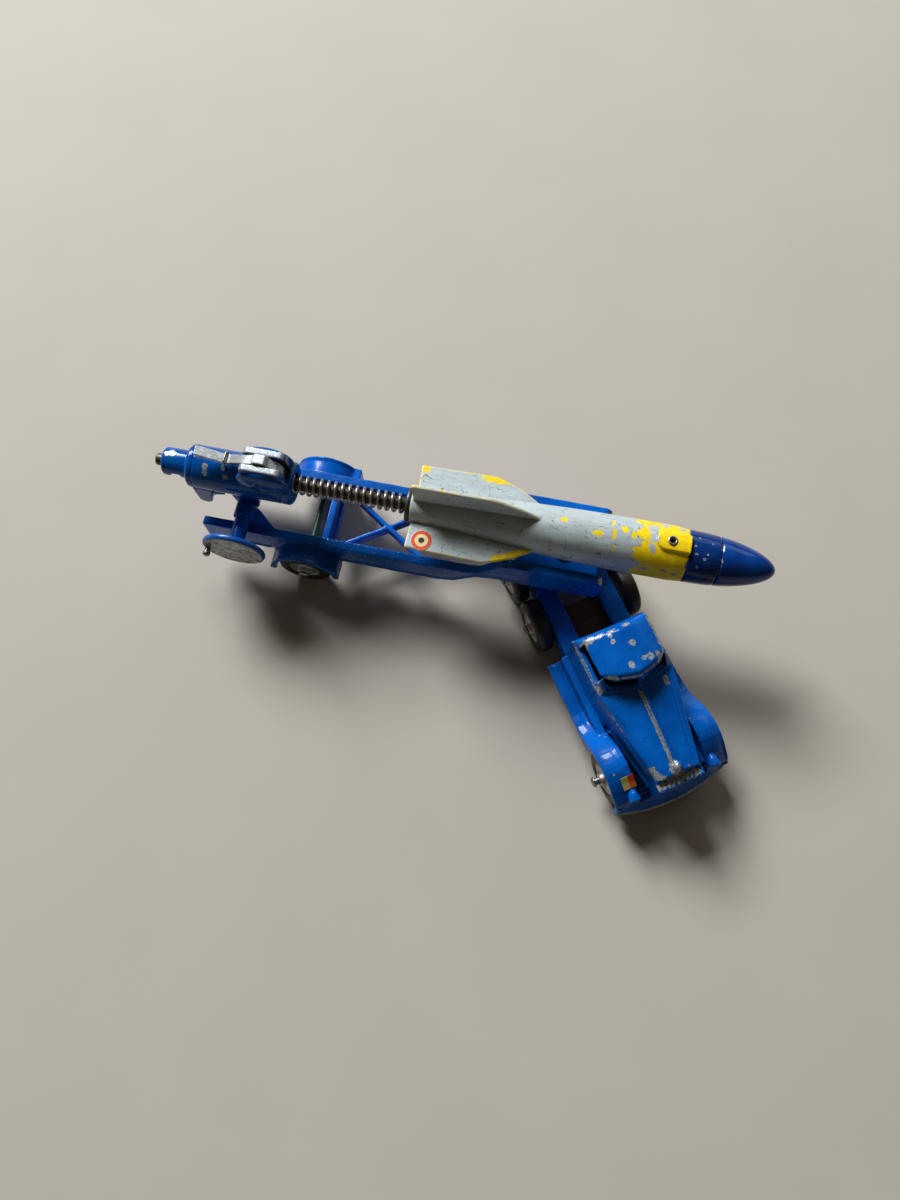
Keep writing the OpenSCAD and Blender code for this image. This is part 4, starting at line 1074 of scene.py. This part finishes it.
# ---- stickers ----
def printed(m, colour, scuff, amount, dirt, rough):
    """A scuffed print."""
    return m.done(Base_Color=m.mix(m.mul(scuff, amount), colour, dirt), Roughness=rough,
                  Normal=m.bump(m.noise(2.0, 4, 0.6), 0.02, 0.5))


low, high, mid = box_mid("roundel_sticker", TRAILER)
r = (high[0] - low[0]) / 2
ringed = [(low[2], 0), (low[2], r - 0.03), (high[2] - 0.03, r), (high[2], r - 0.06)]
ringed += [(high[2], r * k / 16) for k in range(15, -1, -1)]
part = outward(lathe(ringed, 96, "z", (mid[0], mid[1], 0)))
m = Finish("roundel_print")
rad = m.attr("rad")
soft = m.add(rad, m.swing(m.noise(1.6, 4, 0.6), 0.22))
cream = m.mix(m.patches(0.8, 4, 0.6, 0.4, 0.7), srgb(240, 222, 172), srgb(216, 188, 128))
red = m.mix(m.patches(0.9, 4, 0.6, 0.4, 0.7), srgb(224, 78, 44), srgb(196, 62, 36))
black = srgb(10, 9, 9)
colour = m.mix(m.ramp(soft, r * 0.27, r * 0.30), black, cream)
colour = m.mix(m.ramp(soft, r * 0.62, r * 0.65), colour, red)
colour = m.mix(m.ramp(soft, r * 0.95, r * 0.985), colour, cream)
roundel = printed(m, colour, m.patches(1.4, 6, 0.7, 0.66, 0.72), 0.55, srgb(200, 190, 170), 0.42)
piece("roundel_sticker", part, TRAILER, "rocket", roundel, 40, {"rad": radii(part, mid, 2)})

label_verts = node_part("wing_sticker", TRACTOR)[0]
low, high = label_verts.min(0), label_verts.max(0)
ends = [label_verts[np.abs(label_verts[:, 0] - x) < 0.15].mean(0) for x in (low[0], high[0])]
slope = (ends[1] - ends[0]) * (1, 0, 1)
slope /= np.linalg.norm(slope)
lift = np.array([-slope[2], 0, slope[0]])
middle, width = (low + high) / 2, high[1] - low[1]
length = (high[0] - low[0]) / slope[0] * 0.94
thick = 0.12
grid = np.linspace(-0.5, 0.5, 21)
s, t = np.meshgrid(grid, grid, indexing="ij")
flat = middle + s[..., None] * length * slope + t[..., None] * np.array([0, width, 0])
part = outward(sheet(flat - lift * thick / 2, flat + lift * thick / 2))
across = (part[0][:, 1] - low[1]) / width
along = (part[0] - middle) @ slope / length + 0.5
m = Finish("wing_print")
u = m.add(m.attr("across"), m.swing(m.noise(1.0, 3, 0.6), 0.10))
w = m.add(m.attr("along"), m.swing(m.noise(0.8, 3, 0.6), 0.3))
left = m.mix(m.ramp(w, 0.35, 0.6), srgb(186, 190, 62), srgb(232, 214, 132))
right = m.mix(m.ramp(w, 0.45, 0.65), srgb(206, 52, 34), srgb(232, 122, 44))
colour = m.mix(m.ramp(u, 0.47, 0.53), left, right)
wing_print = printed(m, colour, m.patches(1.3, 6, 0.7, 0.62, 0.70), 0.6, srgb(80, 74, 60), 0.4)
piece("wing_sticker", part, TRACTOR, "tractor", wing_print, 40, {"across": across, "along": along})

# ---- floor, light and camera ----
floor_mesh = bpy.data.meshes.new("floor")
reach = 2.0
corners = [(-reach, -reach, 0), (reach, -reach, 0), (reach, reach, 0), (-reach, reach, 0)]
floor_mesh.from_pydata(corners, [], [(0, 1, 2, 3)])
floor = bpy.data.objects.new("floor", floor_mesh)
bpy.context.scene.collection.objects.link(floor)
m = Finish("floor_pale")
tone = m.mix(m.noise(0.02, 3, 0.5), srgb(181, 177, 169), srgb(189, 186, 178))
floor_mesh.materials.append(m.done(Base_Color=tone, Roughness=0.9))
floor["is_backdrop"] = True

world = bpy.data.worlds.new("studio")
bpy.context.scene.world = world
world.use_nodes = True
world.node_tree.nodes["Background"].inputs["Color"].default_value = (1.0, 0.78, 0.54, 1)
world.node_tree.nodes["Background"].inputs["Strength"].default_value = 0.06


def area(name, towards, distance, size, power, colour, target=(0.0, 0.0, 0.02)):
    light = bpy.data.lights.new(name, "AREA")
    light.shape = "RECTANGLE"
    light.size, light.size_y = size
    light.energy = power
    light.color = colour
    obj = bpy.data.objects.new(name, light)
    bpy.context.scene.collection.objects.link(obj)
    away = Vector(towards).normalized()
    obj.location = Vector(target) + away * distance
    obj.rotation_euler = (-away).to_track_quat("-Z", "Y").to_euler()


area("window", (-0.52, 0.60, 0.63), 2.2, (0.90, 0.78), 72.0, (1.0, 0.99, 0.97))
area("bay", (0.32, 0.85, 0.42), 2.2, (1.7, 0.8), 6.0, (1.0, 0.93, 0.84))

camera_data = bpy.data.cameras.new("camera")
camera_data.lens = 26.35
camera_data.sensor_width = 36
camera_data.clip_start, camera_data.clip_end = 0.01, 20
camera = bpy.data.objects.new("camera", camera_data)
camera.location = TRAILER @ Vector((71.06, -114.145, 299.27))
camera.rotation_euler = (math.radians(18.34), 0, math.radians(11.31))
bpy.context.scene.collection.objects.link(camera)
bpy.context.scene.camera = camera
bpy.context.scene.view_settings.view_transform = "Standard"

low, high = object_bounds()
